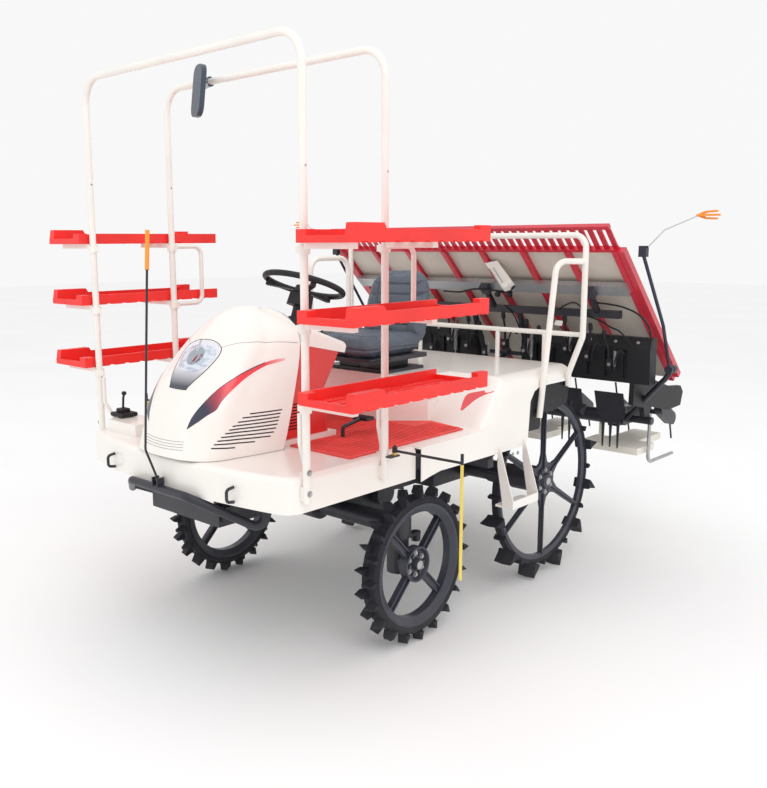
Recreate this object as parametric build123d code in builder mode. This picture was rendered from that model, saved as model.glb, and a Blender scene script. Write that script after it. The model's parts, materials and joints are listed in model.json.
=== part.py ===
import os
from math import cos, radians, sin, tan

from build123d import *

# Frame: millimetres, +X forward, +Y to the vehicle's left, +Z up.
# The origin is on the floor under the middle of the machine's length and width.

# Driving dimensions
FRONT_AXLE_X = 620.0
WHEELBASE = 996.0
REAR_AXLE_X = FRONT_AXLE_X - WHEELBASE
ROW_PITCH = 250.0
ROWS = 7
WALL = 4.0
RUNNING_GAP = 0.3

# Wheels
FRONT_TYRE_R = 325.0
FRONT_TRACK_HALF = 600.0
FRONT_TYRE_W = 88.0
FRONT_RIM_R = 256.0
FRONT_OPENING_R = 219.0
FRONT_HUB_R = 74.0
FRONT_LUGS = 20
REAR_TYRE_R = 475.0
REAR_TRACK_HALF = 594.0
REAR_LUG_W = 90.0
REAR_RING_R = 388.0
REAR_OPENING_R = 364.0
REAR_HUB_R = 78.0
REAR_SPOKES = 6
REAR_LUGS = 12

# Steering
KINGPIN_Y = 512.0
KINGPIN_HOUSING_R = 56.0
AXLE_CASE_Z = 470.0
AXLE_CASE_R = 42.0
HOUSING_LOW_Z = 424.0
HOUSING_TOP_Z = 524.0
STEER_ARM = 120.0
STEER_TILT = 20.0
STEER_WHEEL_X = FRONT_AXLE_X + 26.0
STEER_WHEEL_Z = 1444.0
STEER_WHEEL_R = 185.0
STEER_COLUMN_L = 213.1
TIE_ROD_Z = 388.0

# Chassis
RAIL_Y = 190.0
RAIL_W = 50.0
RAIL_TOP_Z = 640.0
RAIL_H = 80.0
RAIL_FRONT_X = FRONT_AXLE_X + 700.0
ENGINE_REAR_X = FRONT_AXLE_X + 210.0
ENGINE_HALF_W = 165.0
LIFT_PIVOT_X = FRONT_AXLE_X - 1090.0
LOWER_PIVOT_Z = 480.0
UPPER_PIVOT_Z = 690.0

# Deck and body
DECK_HALF_W = 632.0
DECK_TOP_Z = 825.0
DECK_FRONT_X = FRONT_AXLE_X + 790.0
DECK_CORNER_X = FRONT_AXLE_X + 715.0
DECK_REAR_X = FRONT_AXLE_X + 36.0
DECK_SKIRT_Z = 695.0
MAT_T = 9.0
BODY_HALF_W = 658.0
BODY_TOP_Z = 1036.0
BODY_FRONT_X = FRONT_AXLE_X + 30.0
BODY_REAR_X = FRONT_AXLE_X - 1130.0
BODY_ROUND = 70.0

# Cowl, shared by the bonnet and the console
COWL_BASE_Z = DECK_TOP_Z + RUNNING_GAP
COWL_SPLIT_TOP_X = FRONT_AXLE_X + 250.0
COWL_SPLIT_BASE_X = FRONT_AXLE_X + 412.0
COWL_SPLIT_TOP_Z = 1340.0
COWL_SLOPE = (COWL_SPLIT_BASE_X - COWL_SPLIT_TOP_X) / (COWL_SPLIT_TOP_Z - COWL_BASE_Z)
COWL_GAP = 6.0
COWL_REAR_X = FRONT_AXLE_X + 215.0
PLINTH_TOP_Z = DECK_TOP_Z + 24.0
CONSOLE_HALF_W = 236.0
CONSOLE_TOP_SLOPE = 50.0 / 232.0
SLITS = 10
SLIT_TOP_Z = 986.0
SLIT_PITCH = 12.4
SLIT_H = 5.0

# Seedling racks
HOOP_R = 14.0
HOOP_Y = 649.0
HOOP_BEND_R = 105.0
HOOP_BASE_Z = 735.0
FRONT_HOOP_X = FRONT_AXLE_X + 655.0
REAR_HOOP_X = FRONT_AXLE_X + 244.0
HOOP_TOP_Z = 2303.0
HOOP_HOLE_Z = 1873.0
HOOP_HOLE_R = 4.5
CLAMP_WALL = 7.0
TRAY_LEVELS = (1090.0, 1362.0, 1625.0)
TRAY_L = 740.0
TRAY_W = 250.0
TRAY_H = 24.0
TRAY_RIM_H = 44.0
TRAY_LUG_H = 62.0
TRAY_X = FRONT_AXLE_X + 340.0
TRAY_Y = HOOP_Y + HOOP_R + 6.0 + TRAY_W / 2

# Planting unit, stored raised
LINK_L = 570.0
LINK_ANGLE = 33.0
LINK_Y = 170.0
LINK_R = 16.0
PIN_R = 11.0
HITCH_X = LIFT_PIVOT_X - LINK_L * cos(radians(LINK_ANGLE))
HITCH_LOW_Z = LOWER_PIVOT_Z + LINK_L * sin(radians(LINK_ANGLE))
HITCH_TOP_Z = UPPER_PIVOT_Z + LINK_L * sin(radians(LINK_ANGLE))
BEAM_X = HITCH_X - 75.0
BEAM_Z = 700.0
BEAM_R = 38.0
BEAM_END_R = 20.0
UPPER_BEAM_X = HITCH_X + 118.0
UPPER_BEAM_Z = 1259.0
UNIT_HALF_W = ROWS * ROW_PITCH / 2 + 30.0
BEAM_HALF_W = UNIT_HALF_W - 205.0
ROTOR_T = 44.0
END_COVER_Y = (ROWS - 1) * ROW_PITCH / 2 + ROTOR_T / 2 + 13.0
ROTOR_X = FRONT_AXLE_X - 2010.0
ROTOR_Z = 682.0
CLAW_R = 190.0
CASE_W = 54.0
SHAFT_R = 14.0
FLOAT_BOTTOM_Z = 520.0
FLOAT_H = 36.0

# Seedling platform, resting a little to the right in its traverse
PLATFORM_LEAN = 43.7
PLATFORM_TOP_X = FRONT_AXLE_X - 1114.0
PLATFORM_TOP_Z = 1695.0
PLATFORM_L = 1150.0
PLATFORM_SHIFT_Y = -63.0
PLATFORM_T = 12.0
RIB_T = 26.0
SLAT_L = 160.0
RAIL_AT = 360.0
RAIL_BACK = -58.0

os.makedirs("parts", exist_ok=True)


def save(name, part):
    part.label = name
    export_step(part, f"parts/{name}.step")


def tube(points, radius, bend=0.0):
    """A round bar along straight runs with rounded bends."""
    with BuildPart() as bar:
        with BuildLine() as path:
            if bend > 0 and len(points) > 2:
                FilletPolyline(*points, radius=bend)
            else:
                Polyline(*points)
        with BuildSketch(Plane(origin=path.line @ 0, z_dir=path.line % 0)):
            Circle(radius)
        sweep(transition=Transition.ROUND)
    return bar.part


def both_sides(part):
    """The part and its mirror image across the vehicle's centre plane."""
    with BuildPart() as pair:
        add(part)
        mirror(part, about=Plane.XZ)
    return pair.part


def block(low, high):
    """A box between two corners, kept out of any builder context."""
    size = [abs(b - a) for a, b in zip(low, high)]
    centre = [(a + b) / 2 for a, b in zip(low, high)]
    return Location(centre) * Box(*size, mode=Mode.PRIVATE)


def rod_y(x, z, radius, y0, y1):
    """A cylinder along Y between y0 and y1."""
    shape = Cylinder(radius, abs(y1 - y0), mode=Mode.PRIVATE)
    return Location((x, (y0 + y1) / 2, z), (90, 0, 0)) * shape


def rod_x(y, z, radius, x0, x1):
    """A cylinder along X between x0 and x1."""
    shape = Cylinder(radius, abs(x1 - x0), mode=Mode.PRIVATE)
    return Location(((x0 + x1) / 2, y, z), (0, 90, 0)) * shape


# Front wheel
def front_rim():
    with BuildPart() as rim:
        with BuildSketch(Plane.XY):
            with BuildLine():
                Polyline(
                    (FRONT_OPENING_R, -18), (FRONT_RIM_R - 10, -34), (FRONT_RIM_R, -34), (FRONT_RIM_R, 34),
                    (FRONT_RIM_R - 10, 34), (FRONT_OPENING_R, 18), close=True,
                )
            make_face()
            with BuildLine():
                Polyline(
                    (0, -18), (FRONT_HUB_R, -18), (FRONT_HUB_R, 22), (FRONT_HUB_R - 7, 22),
                    (FRONT_HUB_R - 14, 8), (26, 8), (22, 26), (0, 28), close=True,
                )
            make_face()
        revolve(axis=Axis.Y)
        # Four spokes, each a web between two ridges
        spoke_l = FRONT_OPENING_R - FRONT_HUB_R + 16
        spoke_mid = (FRONT_OPENING_R + FRONT_HUB_R) / 2
        for width, across, half_t in ((32, 0, 5), (7, 12.5, 12), (7, -12.5, 12)):
            with BuildSketch(Plane.XZ):
                with PolarLocations(0, 4, start_angle=45):
                    with Locations((spoke_mid, across)):
                        Rectangle(spoke_l, width)
            extrude(amount=half_t, both=True)
        # Hub bolts
        with BuildSketch(Plane.XZ.offset(-7)):
            with PolarLocations(43, 6):
                RegularPolygon(8, 6)
        extrude(amount=-8)
    return rim.part


def front_tyre():
    """Ring of rubber with a row of slanted wedge lugs on either side, set half a pitch apart."""
    carcass_r = FRONT_TYRE_R - 40
    half = FRONT_TYRE_W / 2
    reach = FRONT_TYRE_R - carcass_r + 5
    with BuildPart() as tyre:
        with BuildSketch(Plane.XY):
            with BuildLine():
                Polyline(
                    (FRONT_RIM_R + RUNNING_GAP, -half + 12), (FRONT_RIM_R + 12, -half + 3),
                    (carcass_r, -half + 12),
                    (carcass_r, half - 12), (FRONT_RIM_R + 12, half - 3),
                    (FRONT_RIM_R + RUNNING_GAP, half - 12),
                    close=True,
                )
            make_face()
        revolve(axis=Axis.Y)
        # Side sign and turn of each row
        for side, turn in ((1, 0), (-1, 180 / FRONT_LUGS)):
            with BuildSketch(Plane.XZ.offset(-side * 2)):
                with PolarLocations(carcass_r - 5, FRONT_LUGS, start_angle=turn):
                    Polygon((0, -24), (reach, -9), (reach, 5), (0, 16), align=None)
            extrude(amount=-side * (half - 2), taper=9)
    return tyre.part


# Rear wheel
def rear_rim():
    """Spoked field wheel: a webbed star hub whose spokes flare out of it, carrying a flat ring."""
    with BuildPart() as rim:
        with BuildSketch(Plane.XY):
            with BuildLine():
                Polyline(
                    (REAR_OPENING_R, -9), (REAR_RING_R, -14), (REAR_RING_R, 14), (REAR_OPENING_R, 9),
                    close=True,
                )
            make_face()
            with BuildLine():
                Polyline(
                    (0, -24), (REAR_HUB_R - 14, -24), (REAR_HUB_R - 14, 12), (52, 18), (40, 18), (34, 31),
                    (0, 31),
                    close=True,
                )
            make_face()
        revolve(axis=Axis.Y)
        # Star of flat webs with a rounded window between each pair of spokes
        with BuildSketch(Plane.XZ) as star:
            with PolarLocations(0, REAR_SPOKES, start_angle=30):
                Polygon((40, -46), (REAR_HUB_R + 62, -15), (REAR_OPENING_R + 6, -12),
                        (REAR_OPENING_R + 6, 12),
                        (REAR_HUB_R + 62, 15), (40, 46), align=None)
            Circle(REAR_HUB_R + 16)
            inner = star.vertices().filter_by(lambda v: Vector(v.X, v.Y).length < REAR_HUB_R + 60)
            fillet(inner, 16)
        extrude(amount=6, both=True)
        # Stiffening rib along each spoke
        with BuildSketch(Plane.XZ):
            with PolarLocations(0, REAR_SPOKES, start_angle=30):
                with Locations(((REAR_OPENING_R + REAR_HUB_R) / 2, 0)):
                    Rectangle(REAR_OPENING_R - REAR_HUB_R + 40, 9)
        extrude(amount=13, both=True)
        with BuildSketch(Plane.XZ.offset(-10)):
            with PolarLocations(56, REAR_SPOKES, start_angle=0):
                RegularPolygon(8, 6)
        extrude(amount=-9)
    return rim.part


def rear_tyre():
    """Rubber ring with wide blade lugs that lean one way, and a peg between each pair."""
    ring_r = REAR_RING_R + 20
    lug_root = ring_r - 6
    reach = REAR_TYRE_R - lug_root
    with BuildPart() as tyre:
        with BuildSketch(Plane.XY):
            with Locations(((REAR_RING_R + RUNNING_GAP + ring_r) / 2, 0)):
                Rectangle(ring_r - REAR_RING_R - RUNNING_GAP, 34)
        revolve(axis=Axis.Y)
        with BuildSketch(Plane.XZ):
            with PolarLocations(lug_root, REAR_LUGS, start_angle=15):
                Polygon((0, -40), (26, -30), (reach, -2), (reach, 7), (20, 10), (0, 18), align=None)
        extrude(amount=REAR_LUG_W / 2, both=True, taper=4)
        with BuildSketch(Plane.XZ):
            with PolarLocations(lug_root, REAR_LUGS):
                Polygon((0, -14), (20, -5), (20, 5), (0, 12), align=None)
        extrude(amount=30, both=True)
    return tyre.part


def place_wheels():
    sets = (
        ("front_rim", front_rim(), FRONT_AXLE_X, FRONT_TRACK_HALF, FRONT_TYRE_R),
        ("front_tyre", front_tyre(), FRONT_AXLE_X, FRONT_TRACK_HALF, FRONT_TYRE_R),
        ("rear_rim", rear_rim(), REAR_AXLE_X, REAR_TRACK_HALF, REAR_TYRE_R),
        ("rear_tyre", rear_tyre(), REAR_AXLE_X, REAR_TRACK_HALF, REAR_TYRE_R),
    )
    for name, wheel, x, y, z in sets:
        left = wheel.moved(Location((x, y, z)))
        save(f"{name}_left", left)
        save(f"{name}_right", mirror(left, about=Plane.XZ))


# Axles
def front_axle_case():
    with BuildPart() as case:
        add(rod_y(FRONT_AXLE_X, AXLE_CASE_Z, AXLE_CASE_R, -KINGPIN_Y, KINGPIN_Y))
        for side in (1, -1):
            with Locations((FRONT_AXLE_X, side * KINGPIN_Y, (HOUSING_LOW_Z + HOUSING_TOP_Z) / 2)):
                Cylinder(KINGPIN_HOUSING_R, HOUSING_TOP_Z - HOUSING_LOW_Z)
        add(rod_y(FRONT_AXLE_X, AXLE_CASE_Z, AXLE_CASE_R + 26, -70, 70))
        add(block((FRONT_AXLE_X - 48, -70, AXLE_CASE_Z + 30),
                  (FRONT_AXLE_X + 48, 70, RAIL_TOP_Z - RAIL_H - RUNNING_GAP)))
    return case.part


def knuckle():
    """Left steering knuckle: final case under the kingpin housing, stub axle and steering arm."""
    case_top = HOUSING_LOW_Z - RUNNING_GAP
    case_low = FRONT_TYRE_R - 52
    with BuildPart() as hub:
        with Locations((FRONT_AXLE_X, KINGPIN_Y, (case_top + case_low) / 2)):
            Cylinder(46, case_top - case_low)
        add(rod_y(FRONT_AXLE_X, FRONT_TYRE_R, 36, KINGPIN_Y, FRONT_TRACK_HALF - 30))
        add(rod_y(FRONT_AXLE_X, FRONT_TYRE_R, 62, FRONT_TRACK_HALF - 34,
                  FRONT_TRACK_HALF - 18 - RUNNING_GAP))
        arm_z = TIE_ROD_Z + 14 + RUNNING_GAP
        add(block((FRONT_AXLE_X - STEER_ARM, KINGPIN_Y - 16, arm_z),
                  (FRONT_AXLE_X - 20, KINGPIN_Y + 16, arm_z + 12)))
        with Locations((FRONT_AXLE_X - STEER_ARM, KINGPIN_Y, arm_z + 6)):
            Cylinder(20, 12)
    return hub.part


def tie_rod():
    with BuildPart() as rod:
        add(rod_y(FRONT_AXLE_X - STEER_ARM, TIE_ROD_Z, 11, -KINGPIN_Y, KINGPIN_Y))
        for side in (1, -1):
            with Locations((FRONT_AXLE_X - STEER_ARM, side * KINGPIN_Y, TIE_ROD_Z)):
                Cylinder(19, 28)
    return rod.part


def transmission_case():
    hub_y = REAR_TRACK_HALF - 24 - RUNNING_GAP
    with BuildPart() as case:
        add(rod_y(REAR_AXLE_X, REAR_TYRE_R, 52, -hub_y + 30, hub_y - 30))
        add(rod_y(REAR_AXLE_X, REAR_TYRE_R, 64, -hub_y + 12, -hub_y + 130))
        add(rod_y(REAR_AXLE_X, REAR_TYRE_R, 64, hub_y - 130, hub_y - 12))
        add(rod_y(REAR_AXLE_X, REAR_TYRE_R, 30, -hub_y, hub_y))
        add(block((REAR_AXLE_X - 75, -130, REAR_TYRE_R - 70),
                  (REAR_AXLE_X + 260, 130, RAIL_TOP_Z - RAIL_H - 10)))
        with BuildSketch(Plane.XZ):
            with Locations((FRONT_AXLE_X - 330, 470)):
                Circle(120)
        extrude(amount=110, both=True)
        add(rod_y(FRONT_AXLE_X - 330, 470, 60, -165, 165))
        add(block((REAR_AXLE_X + 240, -70, 430), (FRONT_AXLE_X - 330, 70, RAIL_TOP_Z - RAIL_H - 10)))
        # Feet under the chassis rails
        for x in (REAR_AXLE_X, REAR_AXLE_X + 220):
            add(block((x - 30, -RAIL_Y, RAIL_TOP_Z - RAIL_H - 22),
                      (x + 30, RAIL_Y, RAIL_TOP_Z - RAIL_H - RUNNING_GAP)))
    return case.part


# Chassis
def chassis_frame():
    low_z = RAIL_TOP_Z - RAIL_H
    rail_rear_x = LIFT_PIVOT_X - 30
    with BuildPart() as frame:
        for side in (1, -1):
            add(block((rail_rear_x, side * RAIL_Y - RAIL_W / 2, low_z),
                      (RAIL_FRONT_X, side * RAIL_Y + RAIL_W / 2, RAIL_TOP_Z)))
        # Outriggers that carry the deck, the body and the boarding steps: x, half width, top
        outriggers = (
            (FRONT_AXLE_X + 630, 600, DECK_SKIRT_Z + 40),
            (FRONT_AXLE_X + 244, 600, DECK_SKIRT_Z + 40),
            (FRONT_AXLE_X - 480, 640, DECK_SKIRT_Z - 12),
        )
        for x, half, top in outriggers:
            for side in (1, -1):
                add(block((x - 20, side * (RAIL_Y - 20), top - 40), (x + 20, side * half, top)))
                add(block((x - 20, side * RAIL_Y - 20, RAIL_TOP_Z - 5),
                          (x + 20, side * RAIL_Y + 20, top - 30)))
        # Cross members: x, thickness
        for x, half in ((RAIL_FRONT_X - 20, 20), (FRONT_AXLE_X, 55), (FRONT_AXLE_X - 560, 20)):
            add(block((x - half, -RAIL_Y, low_z), (x + half, RAIL_Y, RAIL_TOP_Z - 10)))
        # Rear hitch posts with the link pivots
        for side in (1, -1):
            add(block((LIFT_PIVOT_X - 28, side * LINK_Y - 8, LOWER_PIVOT_Z - 28),
                      (LIFT_PIVOT_X + 28, side * LINK_Y + 8, BODY_TOP_Z - 90)))
        add(block((LIFT_PIVOT_X + 8, -LINK_Y, BODY_TOP_Z - 140),
                  (LIFT_PIVOT_X + 28, LINK_Y, BODY_TOP_Z - 90)))
        for z in (LOWER_PIVOT_Z, UPPER_PIVOT_Z):
            add(rod_y(LIFT_PIVOT_X, z, PIN_R, -LINK_Y - 46, LINK_Y + 46))
    return frame.part


def engine_block():
    with BuildPart() as engine:
        add(block((ENGINE_REAR_X, -ENGINE_HALF_W, RAIL_TOP_Z), (FRONT_AXLE_X + 640, ENGINE_HALF_W, 1080)))
        fillet(engine.edges().filter_by(Axis.Z), 20)
    return engine.part


# Deck
def deck_outline(inset=0.0):
    """Plan of the step deck: bowed front edge, rounded corners, straight sides."""
    half = DECK_HALF_W - inset
    with BuildSketch() as plan:
        with BuildLine():
            front = ThreePointArc((DECK_CORNER_X - inset, -half), (DECK_FRONT_X - inset, 0),
                                  (DECK_CORNER_X - inset, half))
            Polyline(front @ 1, (DECK_REAR_X + inset, half), (DECK_REAR_X + inset, -half), front @ 0)
        make_face()
        fillet(plan.vertices().sort_by(Axis.X)[-2:], 70 - inset)
    return plan.sketch


def deck():
    with BuildPart() as shell:
        with BuildSketch(Plane.XY.offset(DECK_SKIRT_Z)):
            add(deck_outline())
        extrude(amount=DECK_TOP_Z - DECK_SKIRT_Z)
        top_edges = shell.faces().sort_by(Axis.Z)[-1].edges()
        fillet(top_edges.filter_by(lambda e: e.center().X > DECK_REAR_X + 1), 24)
        with BuildSketch(Plane.XY.offset(DECK_SKIRT_Z - 1)):
            add(deck_outline(WALL))
        extrude(amount=DECK_TOP_Z - DECK_SKIRT_Z - WALL - 18 + 1, mode=Mode.SUBTRACT)
        # Engine bay opening
        add(block((FRONT_AXLE_X + 190, -185, DECK_SKIRT_Z - 5),
                  (FRONT_AXLE_X + 660, 185, DECK_TOP_Z + 5)), mode=Mode.SUBTRACT)
        # Plinth that the console stands on
        add(block((FRONT_AXLE_X + 90, -CONSOLE_HALF_W - 12, DECK_TOP_Z - 1),
                  (FRONT_AXLE_X + 196, CONSOLE_HALF_W + 12, PLINTH_TOP_Z)))
        for side in (1, -1):
            add(block((FRONT_AXLE_X + 90, side * 186, DECK_TOP_Z - 1),
                      (FRONT_AXLE_X + 386, side * (CONSOLE_HALF_W + 12), PLINTH_TOP_Z)))
        # Battery cover on the right front corner
        add(block((FRONT_AXLE_X + 530, -560, DECK_TOP_Z), (FRONT_AXLE_X + 680, -350, DECK_TOP_Z + 50)))
    return shell.part


# Bonnet plans from the base up: z, nose x, half width of the nose, half width at the rear, corner radius
BONNET_PLANS = (
    (COWL_BASE_Z, 804.0, 245.0, 276.0, 130.0),
    (960.0, 797.0, 240.0, 274.0, 128.0),
    (1100.0, 774.0, 228.0, 266.0, 120.0),
    (1185.0, 728.0, 214.0, 255.0, 108.0),
    (1245.0, 664.0, 192.0, 236.0, 92.0),
    (1300.0, 582.0, 154.0, 192.0, 70.0),
    (1345.0, 492.0, 100.0, 118.0, 42.0),
    (1373.0, 402.0, 36.0, 40.0, 16.0),
)


def bonnet_form(inset=0.0):
    """The bonnet's outer form, pulled in by inset: bowed plans stacked up to the domed top."""
    with BuildPart() as form:
        for z, nose, half_front, half_rear, corner in BONNET_PLANS:
            level = z - 6 * inset if z == COWL_BASE_Z else z - inset
            front, rear = half_front - inset, half_rear - inset
            nose_x = FRONT_AXLE_X + nose - inset
            with BuildSketch(Plane.XY.offset(level)) as plan:
                with BuildLine():
                    bow = ThreePointArc((nose_x - 0.12 * half_front, -front), (nose_x, 0),
                                        (nose_x - 0.12 * half_front, front))
                    Polyline(bow @ 1, (COWL_REAR_X, rear), (COWL_REAR_X, -rear), bow @ 0)
                make_face()
                fillet(plan.vertices().sort_by(Axis.X)[-2:], corner - min(inset, 6))
        loft()
    return form.part


# Left headlamp seen from the front, as (y, z) round its outline
LAMP_OUTLINE = (
    (36, 1230), (88, 1240), (148, 1230), (160, 1200), (150, 1166), (110, 1103), (98, 1094), (42, 1101),
    (34, 1168),
)
LAMP_GAP = 0.5
LAMP_DEPTH = 9.0


def lamp_prism(gap):
    """The headlamps' outlines, drawn in by gap and run through the bonnet's nose."""
    with BuildPart() as prism:
        with BuildSketch(Plane.YZ.offset(FRONT_AXLE_X + 520)) as outline:
            Polygon(*LAMP_OUTLINE, align=None)
            fillet(outline.vertices(), 7)
            if gap > 0:
                offset(amount=-gap)
            mirror(about=Plane.YZ)
        extrude(amount=320)
    return prism.part


def headlamps():
    with BuildPart() as lamps:
        add(bonnet_form(LAMP_GAP))
        add(bonnet_form(LAMP_DEPTH), mode=Mode.SUBTRACT)
        add(lamp_prism(LAMP_GAP), mode=Mode.INTERSECT)
    return lamps.part


def slit(front_x, rear_x, z, half_low, half_high):
    """A pair of level slots through both side walls."""
    return [block((front_x, side * half_low, z - SLIT_H / 2), (rear_x, side * half_high, z + SLIT_H / 2))
            for side in (1, -1)]


def seam_cutter(side, gap):
    """Everything in front of (+1) or behind (-1) the slanted seam between bonnet and console."""
    far = FRONT_AXLE_X + side * 1400
    low_z, high_z = COWL_BASE_Z - 60, COWL_SPLIT_TOP_Z + 120
    seam_low = COWL_SPLIT_BASE_X + COWL_SLOPE * 60 + gap
    seam_high = COWL_SPLIT_TOP_X - COWL_SLOPE * 120 + gap
    with BuildPart() as cutter:
        with BuildSketch(Plane.XZ):
            with BuildLine():
                Polyline((seam_low, low_z), (far, low_z), (far, high_z), (seam_high, high_z), close=True)
            make_face()
        extrude(amount=400, both=True)
    return cutter.part


def bonnet():
    # Side slits from the top down: front end and rear end, ahead of the front axle
    slit_ends = (
        (585, 416), (611, 422), (632, 430), (651, 436), (669, 443), (685, 450), (700, 460), (713, 484),
        (723, 553), (732, 641),
    )
    with BuildPart() as shell:
        add(bonnet_form())
        add(bonnet_form(WALL), mode=Mode.SUBTRACT)
        add(seam_cutter(1, COWL_GAP / 2), mode=Mode.INTERSECT)
        for number, (front, rear) in enumerate(slit_ends):
            z = SLIT_TOP_Z - number * SLIT_PITCH
            add(slit(FRONT_AXLE_X + front, FRONT_AXLE_X + rear, z, 120, 320), mode=Mode.SUBTRACT)
        add(lamp_prism(0), mode=Mode.SUBTRACT)
    return shell.part


def console_top(x, drop=0.0):
    """Height of the console's slanted upper edge at x."""
    return 1222.0 - drop + CONSOLE_TOP_SLOPE * (x - FRONT_AXLE_X - 276.0)


def console_form(inset=0.0):
    low_z = PLINTH_TOP_Z + RUNNING_GAP
    front_x, rear_x = FRONT_AXLE_X + 480, FRONT_AXLE_X + 44
    with BuildPart() as form:
        with BuildSketch(Plane.XZ) as side:
            with BuildLine():
                Polyline(
                    (FRONT_AXLE_X + 112, low_z), (front_x, low_z), (front_x, console_top(front_x)),
                    (rear_x, console_top(rear_x)), (FRONT_AXLE_X + 138, 1024), (FRONT_AXLE_X + 118, 872),
                    close=True,
                )
            make_face()
            if inset > 0:
                offset(amount=-inset)
        extrude(amount=CONSOLE_HALF_W - inset, both=True)
    return form.part


def console():
    with BuildPart() as shell:
        add(console_form())
        rear_edges = shell.edges().filter_by(lambda e: abs(e.center().Y) > CONSOLE_HALF_W - 1)
        fillet(rear_edges.filter_by(lambda e: e.center().X < FRONT_AXLE_X + 140), 24)
        add(console_form(WALL), mode=Mode.SUBTRACT)
        # The inner hollow opens towards the bonnet
        add(block((FRONT_AXLE_X + 240, -CONSOLE_HALF_W + WALL, PLINTH_TOP_Z + 2 * WALL),
                  (FRONT_AXLE_X + 500, CONSOLE_HALF_W - WALL, 1190)), mode=Mode.SUBTRACT)
        # Way through the bottom for the engine
        add(block((ENGINE_REAR_X - 10, -ENGINE_HALF_W - 10, PLINTH_TOP_Z),
                  (FRONT_AXLE_X + 500, ENGINE_HALF_W + 10, PLINTH_TOP_Z + 3 * WALL)), mode=Mode.SUBTRACT)
        add(seam_cutter(-1, -COWL_GAP / 2), mode=Mode.INTERSECT)
        for number in range(SLITS - 1):
            z = SLIT_TOP_Z - number * SLIT_PITCH
            seam_x = COWL_SPLIT_TOP_X + COWL_SLOPE * (COWL_SPLIT_TOP_Z - z)
            add(slit(FRONT_AXLE_X + 285, seam_x - 14, z, 200, 260), mode=Mode.SUBTRACT)
    return shell.part


def console_cap():
    """White cap on the console: the dash that the steering column stands on."""
    cap_half = CONSOLE_HALF_W + 3
    front_x, rear_x = FRONT_AXLE_X + 300, FRONT_AXLE_X + 26
    dash_rise = 185 * tan(radians(STEER_TILT))
    with BuildPart() as cap:
        with BuildSketch(Plane.XZ):
            with BuildLine():
                Polyline(
                    (rear_x, console_top(rear_x, -RUNNING_GAP)),
                    (front_x, console_top(front_x, -RUNNING_GAP)),
                    (front_x, 1288), (FRONT_AXLE_X + 205, 1282),
                    (FRONT_AXLE_X + 20, 1282 - dash_rise), (FRONT_AXLE_X + 16, 1196), close=True,
                )
            make_face()
        extrude(amount=cap_half, both=True)
        fillet(cap.edges().filter_by(lambda e: abs(e.center().Y) > cap_half - 1 and e.center().Z > 1235),
               22)
        add(seam_cutter(-1, -COWL_GAP / 2), mode=Mode.INTERSECT)
    return cap.part


def dash_z(x):
    """Height of the sloping dash, x being measured from the front axle."""
    return 1282 - (205 - x) * tan(radians(STEER_TILT)) + RUNNING_GAP


def dash_levers():
    """Small black levers and switch on the dash, left of the steering column."""
    with BuildPart() as levers:
        for x, y, tall in ((150, 150, 62), (110, 185, 40)):
            foot = (FRONT_AXLE_X + x, y, dash_z(x) + 3)
            base = ((x - 22, 0), (x + 22, 0), (x + 22, 8), (x - 22, 8))
            with BuildSketch(Plane.XZ.offset(-y)):
                Polygon(*[(FRONT_AXLE_X + a, dash_z(a) + up) for a, up in base], align=None)
            extrude(amount=13, both=True)
            add(tube((foot, (foot[0] - 14, y, foot[2] + tall),
                      (foot[0] - 34, y + 14, foot[2] + tall + 22)), 5, 18))
    return levers.part


def body_form(outline, half, rounding):
    """A side outline carried across the machine, its upper edges rolled over into the sides."""
    with BuildPart() as form:
        with BuildSketch(Plane.XZ):
            with BuildLine():
                Polyline(*outline, close=True)
            make_face()
        extrude(amount=half, both=True)
        side_edges = form.edges().filter_by(lambda e: abs(e.center().Y) > half - 1)
        roll = side_edges.filter_by(lambda e: e.center().Z > BODY_TOP_Z - 12)
        ramp = side_edges.filter_by(lambda e: DECK_TOP_Z + 20 < e.center().Z < BODY_TOP_Z - 40)
        roll += ramp.filter_by(lambda e: e.center().X > FRONT_AXLE_X - 600)
        fillet(roll, rounding)
    return form.part


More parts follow.
